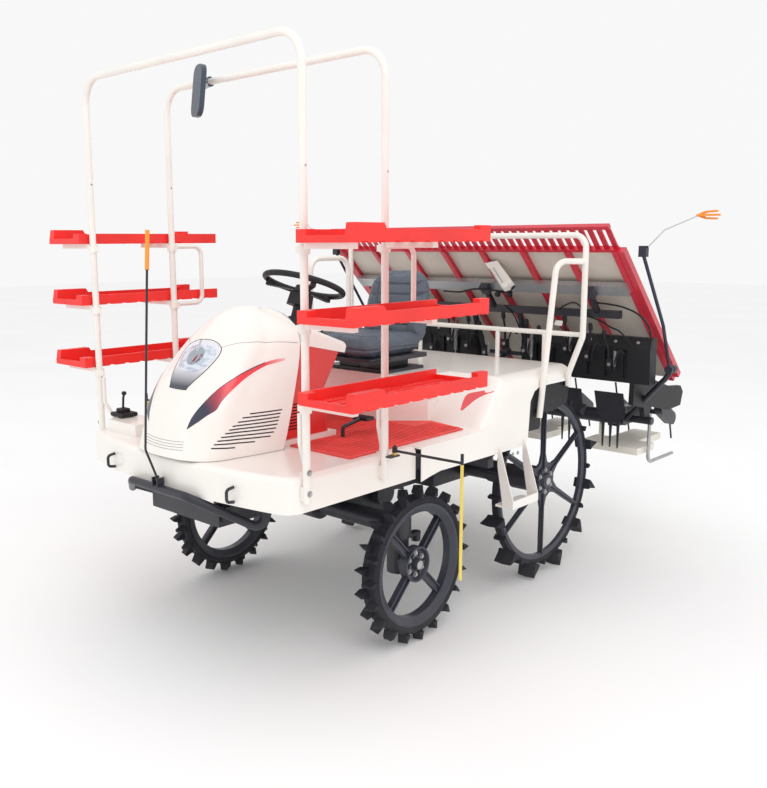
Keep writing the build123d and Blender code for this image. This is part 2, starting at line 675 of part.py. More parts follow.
def rear_body():
    """Floor and seat deck in one moulding, with side panels that sweep up over the rear wheels."""
    ramp_low, ramp_high = FRONT_AXLE_X - 400, FRONT_AXLE_X - 560
    outside = (
        (BODY_FRONT_X, 686), (FRONT_AXLE_X - 28, 698), (FRONT_AXLE_X - 94, 708), (FRONT_AXLE_X - 690, 704),
        (FRONT_AXLE_X - 734, 714), (FRONT_AXLE_X - 750, 736), (FRONT_AXLE_X - 764, 905),
        (FRONT_AXLE_X - 796, 946), (FRONT_AXLE_X - 855, 968), (BODY_REAR_X, 976),
        (BODY_REAR_X, BODY_TOP_Z), (ramp_high, BODY_TOP_Z), (ramp_low, DECK_TOP_Z),
        (BODY_FRONT_X, DECK_TOP_Z),
    )
    inside = (
        (BODY_FRONT_X + 5, 600), (BODY_REAR_X - 5, 600), (BODY_REAR_X - 5, BODY_TOP_Z - 8),
        (ramp_high - 3, BODY_TOP_Z - 8), (ramp_low - 3, DECK_TOP_Z - 8), (BODY_FRONT_X + 5, DECK_TOP_Z - 8),
    )
    # Foot of the pedestal that carries the seat, where the floor runs to a blunt point
    foot = ((-276, 205), (-400, 350), (-580, 350), (-580, -350), (-400, -350), (-276, -205))
    with BuildPart() as body:
        add(body_form(outside, BODY_HALF_W, BODY_ROUND))
        add(body_form(inside, BODY_HALF_W - WALL, BODY_ROUND - WALL), mode=Mode.SUBTRACT)
        with BuildSketch(Plane.XY.offset(DECK_TOP_Z - 4)) as pedestal:
            Polygon(*[(FRONT_AXLE_X + x, y) for x, y in foot], align=None)
            fillet(pedestal.vertices().sort_by(Axis.X)[-2:], 40)
        extrude(amount=BODY_TOP_Z - DECK_TOP_Z + 4)
    return body.part


def floor_mats():
    """Rubber mat round the console's plinth, cut to the seat pedestal's foot at the rear."""
    half_outline = ((364, 256), (364, 580), (-352, 580), (-398, 372), (-262, 214))
    left = [(FRONT_AXLE_X + x, y) for x, y in half_outline]
    right = [(x, -y) for x, y in reversed(left)]
    rib_z = (DECK_TOP_Z + MAT_T - 4, DECK_TOP_Z + MAT_T)
    # Ribs across the mat: first and last X, inner and outer Y
    rib_rows = ((-240, 70, 0, 560), (90, 350, 276, 560), (-350, -250, 400, 560))
    with BuildPart() as mats:
        with BuildSketch(Plane.XY.offset(DECK_TOP_Z + RUNNING_GAP)):
            with BuildLine():
                Polyline(*left, *right, (FRONT_AXLE_X + 80, -256), (FRONT_AXLE_X + 80, 256), close=True)
            make_face()
        extrude(amount=MAT_T - 3)
        for x0, x1, y0, y1 in rib_rows:
            for x in range(x0, x1, 22):
                for side in (1, -1):
                    add(block((FRONT_AXLE_X + x - 4, side * y0, rib_z[0]),
                              (FRONT_AXLE_X + x + 4, side * y1, rib_z[1])))
    return mats.part


def steering_plane(along=0.0):
    """Plane square to the steering column, along from the steering wheel's middle towards the driver."""
    up = (-sin(radians(STEER_TILT)), 0, cos(radians(STEER_TILT)))
    return Plane(origin=(STEER_WHEEL_X, 0, STEER_WHEEL_Z), x_dir=(0, 1, 0), z_dir=up).offset(along)


def steering_column():
    """Column with its rubber boot on the dash and the switch housing under the wheel."""
    with BuildPart() as column:
        with BuildSketch(steering_plane(-STEER_COLUMN_L)):
            Circle(52)
        extrude(amount=64, taper=16)
        with BuildSketch(steering_plane(-STEER_COLUMN_L)):
            Circle(24)
        extrude(amount=STEER_COLUMN_L - 38 - RUNNING_GAP)
        with BuildSketch(steering_plane(-38 - RUNNING_GAP - 58)):
            RectangleRounded(96, 84, 18)
        extrude(amount=54, taper=5)
    return column.part


def steering_wheel():
    plane = steering_plane()
    rim_r = 13.0
    with BuildPart() as wheel:
        with BuildSketch(Plane(origin=plane.from_local_coords((STEER_WHEEL_R - rim_r, 0, 0)),
                               x_dir=plane.x_dir, z_dir=plane.y_dir)):
            Circle(rim_r)
        revolve(axis=Axis(plane.origin, plane.z_dir))
        with BuildSketch(plane.offset(-38)):
            Circle(40)
        extrude(amount=30, taper=14)
        with BuildSketch(plane.offset(-30)):
            for turn in (90, 210, 330):
                with PolarLocations(0, 1, start_angle=turn):
                    Polygon((0, -22), (STEER_WHEEL_R - 18, -11), (STEER_WHEEL_R - 18, 11), (0, 22),
                            align=None)
        extrude(amount=9)
        # Rim ends of the spokes rise to meet the rim
        with BuildSketch(plane.offset(-30)):
            with PolarLocations(STEER_WHEEL_R - 26, 3, start_angle=90):
                Rectangle(18, 22)
        extrude(amount=26)
    return wheel.part


def foot_controls():
    floor = DECK_TOP_Z + MAT_T + RUNNING_GAP
    x, y = FRONT_AXLE_X + 120, 315
    with BuildPart() as controls:
        # Brake pedal on a stem that stands on the mat
        add(tube(((x, y, floor), (x, y, floor + 40), (x - 100, y + 10, floor + 62)), 8, 15))
        add(block((x - 140, y - 30, floor + 56), (x - 90, y + 50, floor + 68)))
        for n in range(4):
            add(block((x - 136 + n * 12, y - 30, floor + 67), (x - 131 + n * 12, y + 50, floor + 71)))
    return controls.part


def seat_base():
    with BuildPart() as base:
        add(block((FRONT_AXLE_X - 570, -190, BODY_TOP_Z + RUNNING_GAP),
                  (FRONT_AXLE_X - 300, 190, BODY_TOP_Z + 14)))
        add(block((FRONT_AXLE_X - 540, -120, BODY_TOP_Z + 10), (FRONT_AXLE_X - 320, 120, 1096)))
        add(block((FRONT_AXLE_X - 575, -205, 1092), (FRONT_AXLE_X - 175, 205, 1112)))
    return base.part


def seat():
    with BuildPart() as pad:
        add(block((FRONT_AXLE_X - 600, -228, 1112 + RUNNING_GAP), (FRONT_AXLE_X - 150, 228, 1205)))
        fillet(pad.edges().filter_by(Axis.Z), 60)
        back_plane = Plane(origin=(FRONT_AXLE_X - 575, 0, 1140), x_dir=(0, 1, 0),
                           z_dir=(-sin(radians(11)), 0, cos(radians(11))))
        with BuildSketch(back_plane):
            Rectangle(430, 85)
        extrude(amount=385)
        fillet(pad.edges().group_by(Axis.Z)[-1], 30)
    return pad.part


# Front bumper: a bow-shaped tube tilted up to the front
BUMPER_R = 17.0
BUMPER_X = FRONT_AXLE_X + 819.0
BUMPER_Z = 700.0


def front_bumper():
    end_x, end_z = FRONT_AXLE_X + 655, 586
    top_x, top_z = FRONT_AXLE_X + 630, DECK_SKIRT_Z - 5
    path = (
        (top_x, -415, top_z), (end_x, -427, end_z), (BUMPER_X, -175, BUMPER_Z),
        (BUMPER_X, 175, BUMPER_Z), (end_x, 427, end_z), (top_x, 415, top_z),
    )
    rail_side = RAIL_Y + RAIL_W / 2 + RUNNING_GAP
    with BuildPart() as bumper:
        add(tube(path, BUMPER_R, 38))
        for side in (1, -1):
            # Bracket from the chassis rail to the tube
            add(block((RAIL_FRONT_X - 80, side * rail_side, RAIL_TOP_Z - 60),
                      (RAIL_FRONT_X - 10, side * (rail_side + 10), RAIL_TOP_Z - 5)))
            add(tube(((RAIL_FRONT_X - 40, side * (rail_side + 14), RAIL_TOP_Z - 32),
                      (FRONT_AXLE_X + 742, side * 301, 643)), 12))
        # Ears of the centre marker
        for y in (-16, 16):
            add(block((BUMPER_X - 16, y - 3, BUMPER_Z + 8), (BUMPER_X + 16, y + 3, BUMPER_Z + 44)))
    return bumper.part


def tow_hooks():
    """Two eyes on the apron, and their pads."""
    apron_x = FRONT_AXLE_X + 764.0
    with BuildPart() as hooks:
        for side in (1, -1):
            add(tube(((apron_x, side * 384, 765), (apron_x + 32, side * 384, 760),
                      (apron_x + 32, side * 384, 715), (apron_x, side * 384, 710)), 6, 14))
    return hooks.part


MARKER_PIVOT_Z = BUMPER_Z + 34


def centre_marker():
    with BuildPart() as marker:
        add(rod_y(BUMPER_X, MARKER_PIVOT_Z, 9, -12.7, 12.7))
        add(tube(((BUMPER_X, 0, MARKER_PIVOT_Z), (BUMPER_X + 50, 0, 860), (BUMPER_X + 10, 0, 1530)), 4.5,
                 40))
        add(tube(((BUMPER_X + 10, 0, 1530), (BUMPER_X + 1, 0, 1675)), 8))
    return marker.part


def hoop(x):
    corners = ((x, -HOOP_Y, HOOP_BASE_Z), (x, -HOOP_Y, HOOP_TOP_Z), (x, HOOP_Y, HOOP_TOP_Z),
               (x, HOOP_Y, HOOP_BASE_Z))
    with BuildPart() as frame:
        add(tube(corners, HOOP_R, HOOP_BEND_R))
        for side in (1, -1):
            add(block((x - 16, side * (DECK_HALF_W + RUNNING_GAP), HOOP_BASE_Z + 8),
                      (x + 16, side * HOOP_Y, HOOP_BASE_Z + 58)))
        add(rod_y(x, HOOP_HOLE_Z, HOOP_HOLE_R, -HOOP_Y - 30, HOOP_Y + 30), mode=Mode.SUBTRACT)
    return frame.part


def marker_brackets():
    """Plates against the rear hoop's legs, with the pivot pins of the side markers."""
    px, py, pz = SIDE_PIVOT
    plate_z = pz - 15 - RUNNING_GAP
    with BuildPart() as bracket:
        add(block((px - 14, py - 14, plate_z - 6), (REAR_HOOP_X + 8, py + 14, plate_z)))
        with Locations((REAR_HOOP_X, HOOP_Y, pz)):
            Cylinder(HOOP_R + RUNNING_GAP, 100, mode=Mode.SUBTRACT)
        with Locations((px, py, pz)):
            Cylinder(SIDE_PIN_R, 44)
    return both_sides(bracket.part)


def grab_pipes():
    """Braces beside the hoop legs and the grab handles behind the rear legs."""
    brace = 8.0
    clamp_r = HOOP_R + 8 + RUNNING_GAP
    foot_y = 598
    foot_z = DECK_TOP_Z + RUNNING_GAP
    with BuildPart() as pipes:
        for side in (1, -1):
            y = side * (HOOP_Y - clamp_r - brace - 1)
            for x in (FRONT_HOOP_X, REAR_HOOP_X):
                add(tube(((x, y, 1048), (x, y, 940), (x - 40, side * foot_y, foot_z + 30),
                          (x - 40, side * foot_y, foot_z + 2)), brace, 12))
                add(block((x - 55, side * (foot_y - 14), foot_z),
                          (x - 25, side * (foot_y + 14), foot_z + 5)))
            grab_x = REAR_HOOP_X - HOOP_R - CLAMP_WALL - RUNNING_GAP
            add(tube(((grab_x, side * HOOP_Y, 1345), (FRONT_AXLE_X + 78, side * HOOP_Y, 1345),
                      (FRONT_AXLE_X + 78, side * HOOP_Y, 1610), (grab_x, side * HOOP_Y, 1610)), 10, 40))
    return pipes.part


def seedling_tray(z):
    """One shallow tray: ridged floor, high long rims, low ends, raised corner blocks."""
    x0, x1 = TRAY_X - TRAY_L / 2, TRAY_X + TRAY_L / 2
    y0, y1 = TRAY_Y - TRAY_W / 2, TRAY_Y + TRAY_W / 2
    floor_z = z + 8
    # Long rims as (y, outer y, height); end rims as (x, outer x, height)
    long_rims = ((y0, y0 + 11, TRAY_RIM_H), (y1, y1 - 11, TRAY_RIM_H))
    end_rims = ((x0, x0 + 12, TRAY_H), (x1, x1 - 12, TRAY_H))
    with BuildPart() as tray:
        add(block((x0, y0, z), (x1, y1, floor_z)))
        for inner, outer, height in long_rims:
            with BuildSketch(Plane.XZ.offset(-min(inner, outer))):
                Polygon((x0, z), (x0, z + height), (x1 - 60, z + height), (x1, z + TRAY_H), (x1, z),
                        align=None)
            extrude(amount=-abs(outer - inner))
        for inner, outer, height in end_rims:
            add(block((inner, y0, z), (outer, y1, z + height)))
        # Ridges that the seedling mats slide on
        for y in (TRAY_Y - 62, TRAY_Y, TRAY_Y + 62):
            add(block((x0 + 10, y - 5, z), (x1 - 10, y + 5, floor_z + 4)))
        # Corner blocks: inner front, then the long outer front wedge, then the rear outer lug
        add(block((x1 - 42, y0, z), (x1, y0 + 46, z + TRAY_RIM_H)))
        with BuildSketch(Plane.XZ.offset(-(y1 - 34))):
            Polygon((x1 - 190, z), (x1 - 150, z + TRAY_LUG_H), (x1 - 8, z + TRAY_LUG_H), (x1, z + 12),
                    (x1, z),
                    align=None)
        extrude(amount=-34)
        add(block((x0, y1 - 30, z), (x0 + 62, y1, z + TRAY_RIM_H + 14)))
        # Notched lower edges
        for n in range(9):
            x = x0 + 60 + n * (TRAY_L - 120) / 8
            add(block((x - 14, y0 - 1, z - 1), (x + 14, y1 + 1, z + 4)), mode=Mode.SUBTRACT)
        # Drain slots
        with BuildSketch(Plane.XY.offset(z - 1)):
            with Locations((TRAY_X, TRAY_Y)):
                with GridLocations(150, 62, 4, 4):
                    SlotOverall(110, 18)
        extrude(amount=14, mode=Mode.SUBTRACT)
    return tray.part


def seedling_trays():
    with BuildPart() as trays:
        for z in TRAY_LEVELS:
            add(seedling_tray(z))
    return both_sides(trays.part)


def tray_clamps():
    """Split clamps on the hoop legs, each with a shelf bracket under its tray."""
    with BuildPart() as clamps:
        for z in TRAY_LEVELS:
            for x in (FRONT_HOOP_X, REAR_HOOP_X):
                with Locations((x, HOOP_Y, z - 22)):
                    Cylinder(HOOP_R + CLAMP_WALL, 30)
                add(block((x - 14, HOOP_Y + HOOP_R, z - 20),
                          (x + 14, TRAY_Y + TRAY_W / 2 - 40, z - RUNNING_GAP)))
                add(block((x - 5, HOOP_Y - HOOP_R - 22, z - 34), (x + 5, HOOP_Y - HOOP_R - 3, z - 10)))
                with Locations((x, HOOP_Y, z - 22)):
                    Cylinder(HOOP_R + 0.1, 60, mode=Mode.SUBTRACT)
    return both_sides(clamps.part)


def mirror_unit():
    arm_y = -350.0
    glass_z = HOOP_TOP_Z - 41
    with BuildPart() as unit:
        with BuildSketch(Plane(origin=(REAR_HOOP_X + 62, arm_y, glass_z), x_dir=(0.35, 1, 0),
                               z_dir=(1, -0.35, 0.12))):
            RectangleRounded(110, 215, 40)
        extrude(amount=-22)
        add(tube(((REAR_HOOP_X + 16, arm_y, HOOP_TOP_Z), (REAR_HOOP_X + 50, arm_y, glass_z + 28)), 7))
        add(rod_y(REAR_HOOP_X, HOOP_TOP_Z, HOOP_R + 7, arm_y - 20, arm_y + 20))
        add(rod_y(REAR_HOOP_X, HOOP_TOP_Z, HOOP_R + 0.1, arm_y - 25, arm_y + 25), mode=Mode.SUBTRACT)
    return unit.part


GUARD_R = 14.0


def rear_rails():
    """White tube rails round the seat deck: side handrails, rear guard and low rear bar."""
    guard_x, guard_y, guard_z = BODY_REAR_X + 59, BODY_HALF_W + 82, 1650
    low_x, low_z = BODY_REAR_X + 30, 1185
    side_y = BODY_HALF_W + GUARD_R + RUNNING_GAP
    deck_z = BODY_TOP_Z + RUNNING_GAP
    right_y = BODY_HALF_W - 22
    # Right handrail: front and rear legs
    right_x = (BODY_REAR_X + 490, BODY_REAR_X + 195)
    with BuildPart() as rails:
        guard = [(guard_x, side_y, 940), (guard_x, side_y, 1000), (guard_x, guard_y, 1180),
                 (guard_x, guard_y, guard_z)]
        add(tube((*guard, *[(x, -y, z) for x, y, z in reversed(guard)]), GUARD_R, 60))
        # Left handrail joins the guard, right handrail stands on its own
        add(tube(((BODY_REAR_X + 311, side_y, 822), (BODY_REAR_X + 200, side_y, 1533),
                  (guard_x, guard_y, 1530)),
                 GUARD_R, 60))
        foot_z = BODY_TOP_Z - 30
        add(tube(((right_x[0], -right_y, foot_z), (right_x[0], -right_y, 1538),
                  (right_x[1], -right_y, 1538), (right_x[1], -right_y, foot_z)), GUARD_R, 70))
        # Feet cut to the body's rolled edge
        add(rod_x(BODY_ROUND - BODY_HALF_W, BODY_TOP_Z - BODY_ROUND, BODY_ROUND + RUNNING_GAP,
                  right_x[1] - 30, right_x[0] + 30), mode=Mode.SUBTRACT)
        add(tube(((low_x, -guard_y + 60, low_z), (low_x, guard_y - 60, low_z)), 12))
        for side in (1, -1):
            add(tube(((low_x, side * (guard_y - 62), low_z), (guard_x, side * (guard_y - 2), low_z + 4)),
                     12))
            for y in (250, BODY_HALF_W - 138):
                add(tube(((low_x, side * y, deck_z), (low_x, side * y, low_z)), 11))
    return rails.part


def rail_brackets():
    """Black plates inside the body's rear corners, with pads under the feet of the rails."""
    outer_y = BODY_HALF_W - WALL - RUNNING_GAP
    outline = (
        (-745, 765), (-850, 761), (-861, 780), (-861, 835), (-970, 829), (-1099, 855), (-1113, 915),
        (-1108, 960), (-775, 960), (-764, 905), (-745, 885),
    )
    # Pads under the feet of the left handrail and the guard
    pads = ((-822, 850), (-1071, 948))
    with BuildPart() as plate:
        with BuildSketch(Plane.XZ.offset(-outer_y)):
            Polygon(*[(FRONT_AXLE_X + x, z) for x, z in outline], align=None)
        extrude(amount=7)
        for x, z in pads:
            add(rod_y(FRONT_AXLE_X + x, z, 10, outer_y - 2, BODY_HALF_W))
    return both_sides(plate.part)


def boarding_steps():
    """Bent plate steps that hang outboard of the rear wheels' front edges."""
    x_front, x_rear = FRONT_AXLE_X - 505, FRONT_AXLE_X - 712
    arm_y, tread_y = BODY_HALF_W + RUNNING_GAP, BODY_HALF_W + 85
    with BuildPart() as step:
        for x, turn in ((x_front, -1), (x_rear, 1)):
            with BuildSketch(Plane.YZ.offset(x)):
                with BuildLine():
                    Polyline((arm_y, 735), (arm_y, 650), (tread_y - 52, 466), (tread_y, 466),
                             (tread_y, 500),
                             (arm_y + 22, 700), (arm_y + 10, 735), close=True)
                make_face()
            extrude(amount=turn * 5)
        add(block((x_rear, arm_y - 6, 465), (x_front, tread_y, 475)))
        add(block((x_rear, tread_y - 5, 465), (x_front, tread_y, 503)))
    return both_sides(step.part)


SIDE_PIVOT = (FRONT_AXLE_X + 212.0, 672.0, 847.0)
SIDE_ARM = 301.0
SIDE_PIN_R = 5.0
PIVOT_FIT = 0.06


def side_marker():
    """Folding side marker: a thin arm out over the wheel track with the yellow hanging rod."""
    px, py, pz = SIDE_PIVOT
    ex, ey = px - 14, py + SIDE_ARM
    with BuildPart() as marker:
        add(tube(((px, py, pz), (ex, ey, pz)), 5))
        with Locations((px, py, pz)):
            Cylinder(10, 30)
            Cylinder(SIDE_PIN_R + PIVOT_FIT, 60, mode=Mode.SUBTRACT)
        add(tube(((ex, ey, pz + 33), (ex, ey, pz - 437)), 6))
    return marker.part


# Lift links
def lower_links():
    with BuildPart() as links:
        for side in (1, -1):
            y = side * (LINK_Y + 30)
            add(tube(((LIFT_PIVOT_X, y, LOWER_PIVOT_Z), (HITCH_X, y, HITCH_LOW_Z)), LINK_R))
            for x, z in ((LIFT_PIVOT_X, LOWER_PIVOT_Z), (HITCH_X, HITCH_LOW_Z)):
                add(rod_y(x, z, 26, y - 15, y + 15))
                add(rod_y(x, z, PIN_R + 0.06, y - 20, y + 20), mode=Mode.SUBTRACT)
        mid_x = (LIFT_PIVOT_X + HITCH_X) / 2
        mid_z = (LOWER_PIVOT_Z + HITCH_LOW_Z) / 2
        add(rod_y(mid_x, mid_z, 12, -LINK_Y - 30, LINK_Y + 30))
    return links.part


def top_link():
    with BuildPart() as link:
        add(tube(((LIFT_PIVOT_X, 0, UPPER_PIVOT_Z), (HITCH_X, 0, HITCH_TOP_Z)), LINK_R))
        for x, z in ((LIFT_PIVOT_X, UPPER_PIVOT_Z), (HITCH_X, HITCH_TOP_Z)):
            add(rod_y(x, z, 26, -20, 20))
            add(rod_y(x, z, PIN_R + 0.06, -25, 25), mode=Mode.SUBTRACT)
    return link.part


# Planting unit
CASE_YS = [half_row * ROW_PITCH for half_row in (-3.5, -1.5, 0.5, 2.5)]
SHOE_YS = (-620.0, 0.0, 620.0)
LINE_PIVOT = (FRONT_AXLE_X - 1535.0, UNIT_HALF_W + 60.0, 995.0)
LINE_PIN_R = 7.0


def marker_carrier(side):
    """Path of the bent tube that carries a line marker's pivot."""
    px, py, pz = LINE_PIVOT
    return ((BEAM_X, side * BEAM_HALF_W, BEAM_Z), (px - 30, side * (py - 30), pz - 50),
            (px - 30, side * py, pz))


def planter_frame():
    mast_y = LINK_Y - 20
    mast_side = ((HITCH_X - 30, HITCH_TOP_Z - 30), (HITCH_X + 20, HITCH_TOP_Z - 30),
                 (UPPER_BEAM_X + 15, UPPER_BEAM_Z), (UPPER_BEAM_X - 20, UPPER_BEAM_Z))
    foot = platform_plane().from_local_coords((0, RAIL_AT + 35, RAIL_BACK - 15))
    shoe_side = ((UPPER_BEAM_X - 18, UPPER_BEAM_Z), (UPPER_BEAM_X + 18, UPPER_BEAM_Z),
                 (foot.X + 16, foot.Z), (foot.X - 16, foot.Z))
    px, py, pz = LINE_PIVOT
    with BuildPart() as frame:
        # Masts with the pins of the links
        for side in (1, -1):
            add(block((HITCH_X - 34, side * mast_y - 7, BEAM_Z - 30),
                      (HITCH_X + 22, side * mast_y + 7, HITCH_TOP_Z + 30)))
            add(block((BEAM_X - 20, side * mast_y - 20, BEAM_Z - 20),
                      (HITCH_X - 20, side * mast_y + 5, BEAM_Z + 30)))
            with BuildSketch(Plane.XZ.offset(-side * mast_y)):
                Polygon(*mast_side, align=None)
            extrude(amount=7, both=True)
        add(rod_y(HITCH_X, HITCH_LOW_Z, PIN_R, -LINK_Y - 52, LINK_Y + 52))
        add(rod_y(HITCH_X, HITCH_TOP_Z, PIN_R, -mast_y - 6, mast_y + 6))
        # Main beam, its thinner left end, and the upper beam
        add(rod_y(BEAM_X, BEAM_Z, BEAM_R, -UNIT_HALF_W, BEAM_HALF_W))
        add(rod_y(BEAM_X - BEAM_R + BEAM_END_R, BEAM_Z, BEAM_END_R, BEAM_HALF_W - 10, UNIT_HALF_W - 70))
        add(block((UPPER_BEAM_X - 20, 75 - UNIT_HALF_W, UPPER_BEAM_Z - 20),
                  (UPPER_BEAM_X + 20, UNIT_HALF_W - 168, UPPER_BEAM_Z + 20)))
        # Carriers of the line markers, each with a pivot pin
        for side in (1, -1):
            add(tube(marker_carrier(side), 14, 30))
            add(rod_x(side * py, pz, 22, px - 44, px - 14 - RUNNING_GAP))
            add(rod_x(side * py, pz, LINE_PIN_R, px - 30, px + 20))
        # Shoes that carry the seedling platform's rail
        for y in SHOE_YS:
            add(platform_box(y - PLATFORM_SHIFT_Y - 25, y - PLATFORM_SHIFT_Y + 25, RAIL_AT + 8,
                             RAIL_AT + 62,
                             RAIL_BACK - 30, RAIL_BACK - RUNNING_GAP))
            with BuildSketch(Plane.XZ.offset(-y)):
                Polygon(*shoe_side, align=None)
            extrude(amount=10, both=True)
    return frame.part


def planter_covers():
    """Grooved black covers beside the masts, and the black covers at both ends of the unit."""
    inner_y = LINK_Y - 20 + 7 + RUNNING_GAP
    front = HITCH_X + 96
    cover_side = ((front - 10, 915), (front, 1096), (front - 30, 1146), (front - 76, 1146),
                  (front - 76, 915))
    beam_x = BEAM_X - BEAM_R + BEAM_END_R
    saddle_z = BEAM_Z + BEAM_END_R + RUNNING_GAP
    end_side = (
        (beam_x + 180, 805), (beam_x + 175, 950), (beam_x + 140, 968), (beam_x - 240, 852),
        (beam_x - 390, 838),
        (beam_x - 425, 800), (beam_x - 400, 728), (beam_x - 250, 722), (beam_x - 30, 770),
        (beam_x - 10, saddle_z),
        (beam_x + 40, saddle_z), (beam_x + 55, 775),
    )
    with BuildPart() as covers:
        with BuildSketch(Plane.XZ.offset(-inner_y)):
            Polygon(*cover_side, align=None)
        extrude(amount=-(UNIT_HALF_W - 15 - inner_y))
        for y in range(250, 850, 100):
            add(block((front - 18, y, 940), (front + 5, y + 22, 1080)), mode=Mode.SUBTRACT)
        with BuildSketch(Plane.XZ.offset(-END_COVER_Y)):
            Polygon(*end_side, align=None)
        extrude(amount=-26)
        add(tube(marker_carrier(1), 16, 30), mode=Mode.SUBTRACT)
    with BuildPart() as pair:
        add(both_sides(covers.part))
        # The right cover rests on the main beam's full thickness
        add(rod_y(BEAM_X, BEAM_Z, BEAM_R + RUNNING_GAP, -UNIT_HALF_W - 10, -BEAM_HALF_W),
            mode=Mode.SUBTRACT)
    return pair.part


def planting_cases():
    """Four chain cases that run back from the main beam to the rotor shaft."""
    with BuildPart() as cases:
        for y in CASE_YS:
            with BuildSketch(Plane.XZ.offset(-y)):
                with BuildLine():
                    Polyline((BEAM_X, BEAM_Z - 50), (ROTOR_X, ROTOR_Z - 44), (ROTOR_X, ROTOR_Z + 44),
                             (BEAM_X, BEAM_Z + 50), close=True)
                make_face()
                with Locations((ROTOR_X, ROTOR_Z)):
                    Circle(46)
            extrude(amount=CASE_W / 2, both=True)
        add(rod_y(BEAM_X, BEAM_Z, BEAM_R + RUNNING_GAP, -1000, 1000), mode=Mode.SUBTRACT)
        add(rod_y(ROTOR_X, ROTOR_Z, SHAFT_R + 0.05, -1000, 1000), mode=Mode.SUBTRACT)
    return cases.part


def planting_rotors():
    """Rotary pickers: a shaft through each case, with a rotor and two claws at every row."""
    with BuildPart() as rotors:
        for case_y in CASE_YS:
            reach = 125 if case_y > CASE_YS[0] else 0
            add(rod_y(ROTOR_X, ROTOR_Z, SHAFT_R, case_y - reach - (40 if reach == 0 else 0), case_y + 125))
        for row in range(ROWS):
            y = (row - (ROWS - 1) / 2) * ROW_PITCH
            with BuildSketch(Plane.XZ.offset(-y)):
                with Locations((ROTOR_X, ROTOR_Z)):
                    SlotOverall(210, 70, rotation=30)
            extrude(amount=ROTOR_T / 2, both=True)
            for half_turn in (0, 180):
                a = radians(30 + half_turn)
                hub = (ROTOR_X + 70 * cos(a), ROTOR_Z + 70 * sin(a))
                tip_a = radians(30 + half_turn + 28)
                tip = (ROTOR_X + (CLAW_R - 5) * cos(tip_a), ROTOR_Z + (CLAW_R - 5) * sin(tip_a))
                add(tube(((hub[0], y, hub[1]), (tip[0], y, tip[1])), 5))
    return rotors.part


def floats():
    """Cream skid boards: a wide nose in front of the rotors and tails between the rows."""
    nose_x0, nose_x1 = ROTOR_X + CLAW_R + 25, FRONT_AXLE_X - 1600
    tail_x = ROTOR_X - 60
    z = FLOAT_BOTTOM_Z
    # Float centre, half width of the nose, offset of the post, offsets of the tails
    boards_table = ((0, 235, 0, (-125, 125)), (625, 165, -60, (0,)), (-625, 165, 60, (0,)))
    with BuildPart() as boards:
        for y, half, post, tails in boards_table:
            add(block((nose_x0, y - half, z), (nose_x1, y + half, z + FLOAT_H)))
            for t in tails:
                add(block((tail_x, y + t - 80, z), (nose_x0 + 1, y + t + 80, z + FLOAT_H)))
            # Post up to the main beam
            add(block((BEAM_X - 12, y + post - 10, z + FLOAT_H - 1),
                      (BEAM_X + 12, y + post + 10, BEAM_Z - BEAM_R - RUNNING_GAP)))
    return boards.part


def levelling_forks():
    """Three-tined plates behind the rear wheels, which rake their tracks level."""
    x = BEAM_X + BEAM_R + 10
    top_z, low_z, tip_z = 838, 690, 545
    plate = ((-100, top_z), (62, top_z), (80, 725), (50, low_z), (-50, low_z), (-80, 725))
    with BuildPart() as forks:
        for side in (1, -1):
            for y in (640, 400):
                with BuildSketch(Plane.YZ.offset(x)):
                    Polygon(*[(side * (y + d), z) for d, z in plate], align=None)
                    for d in (-42, 0, 42):
                        tine = ((-9, low_z + 5), (9, low_z + 5), (3, tip_z), (-3, tip_z))
                        Polygon(*[(side * (y + d + t), z) for t, z in tine], align=None)
                extrude(amount=6)
                arm_y = side * (y + 27)
                add(block((BEAM_X - 15, arm_y - 13, BEAM_Z + BEAM_R + RUNNING_GAP),
                          (x + 3, arm_y + 13, BEAM_Z + BEAM_R + 14)))
    return forks.part


def planter_stands():
    """Galvanised bent pipe stands at both ends of the unit."""
    post_x = BEAM_X - BEAM_R - 9 - RUNNING_GAP
    with BuildPart() as stands:
        for y in (UNIT_HALF_W - 97, 97 - UNIT_HALF_W):
            add(tube(((post_x, y, BEAM_Z + 30), (post_x, y, 470), (ROTOR_X + 20, y, 470)), 9, 40))
    return stands.part


# Seedling platform
def platform_plane():
    """Local X across the machine, local Y down the slope, normal out of the seedling side."""
    lean = radians(PLATFORM_LEAN)
    down = Vector(-cos(lean), 0, -sin(lean))
    return Plane(origin=(PLATFORM_TOP_X, PLATFORM_SHIFT_Y, PLATFORM_TOP_Z), x_dir=(0, 1, 0),
                 z_dir=Vector(0, 1, 0).cross(down))


def platform_box(x0, x1, s0, s1, n0, n1):
    """A box in platform coordinates: across, down the slope, off the surface."""
    plane = platform_plane()
    with BuildPart() as piece:
        with BuildSketch(plane.offset(n0)):
            with Locations(((x0 + x1) / 2, (s0 + s1) / 2)):
                Rectangle(x1 - x0, s1 - s0)
        extrude(amount=n1 - n0)
    return piece.part


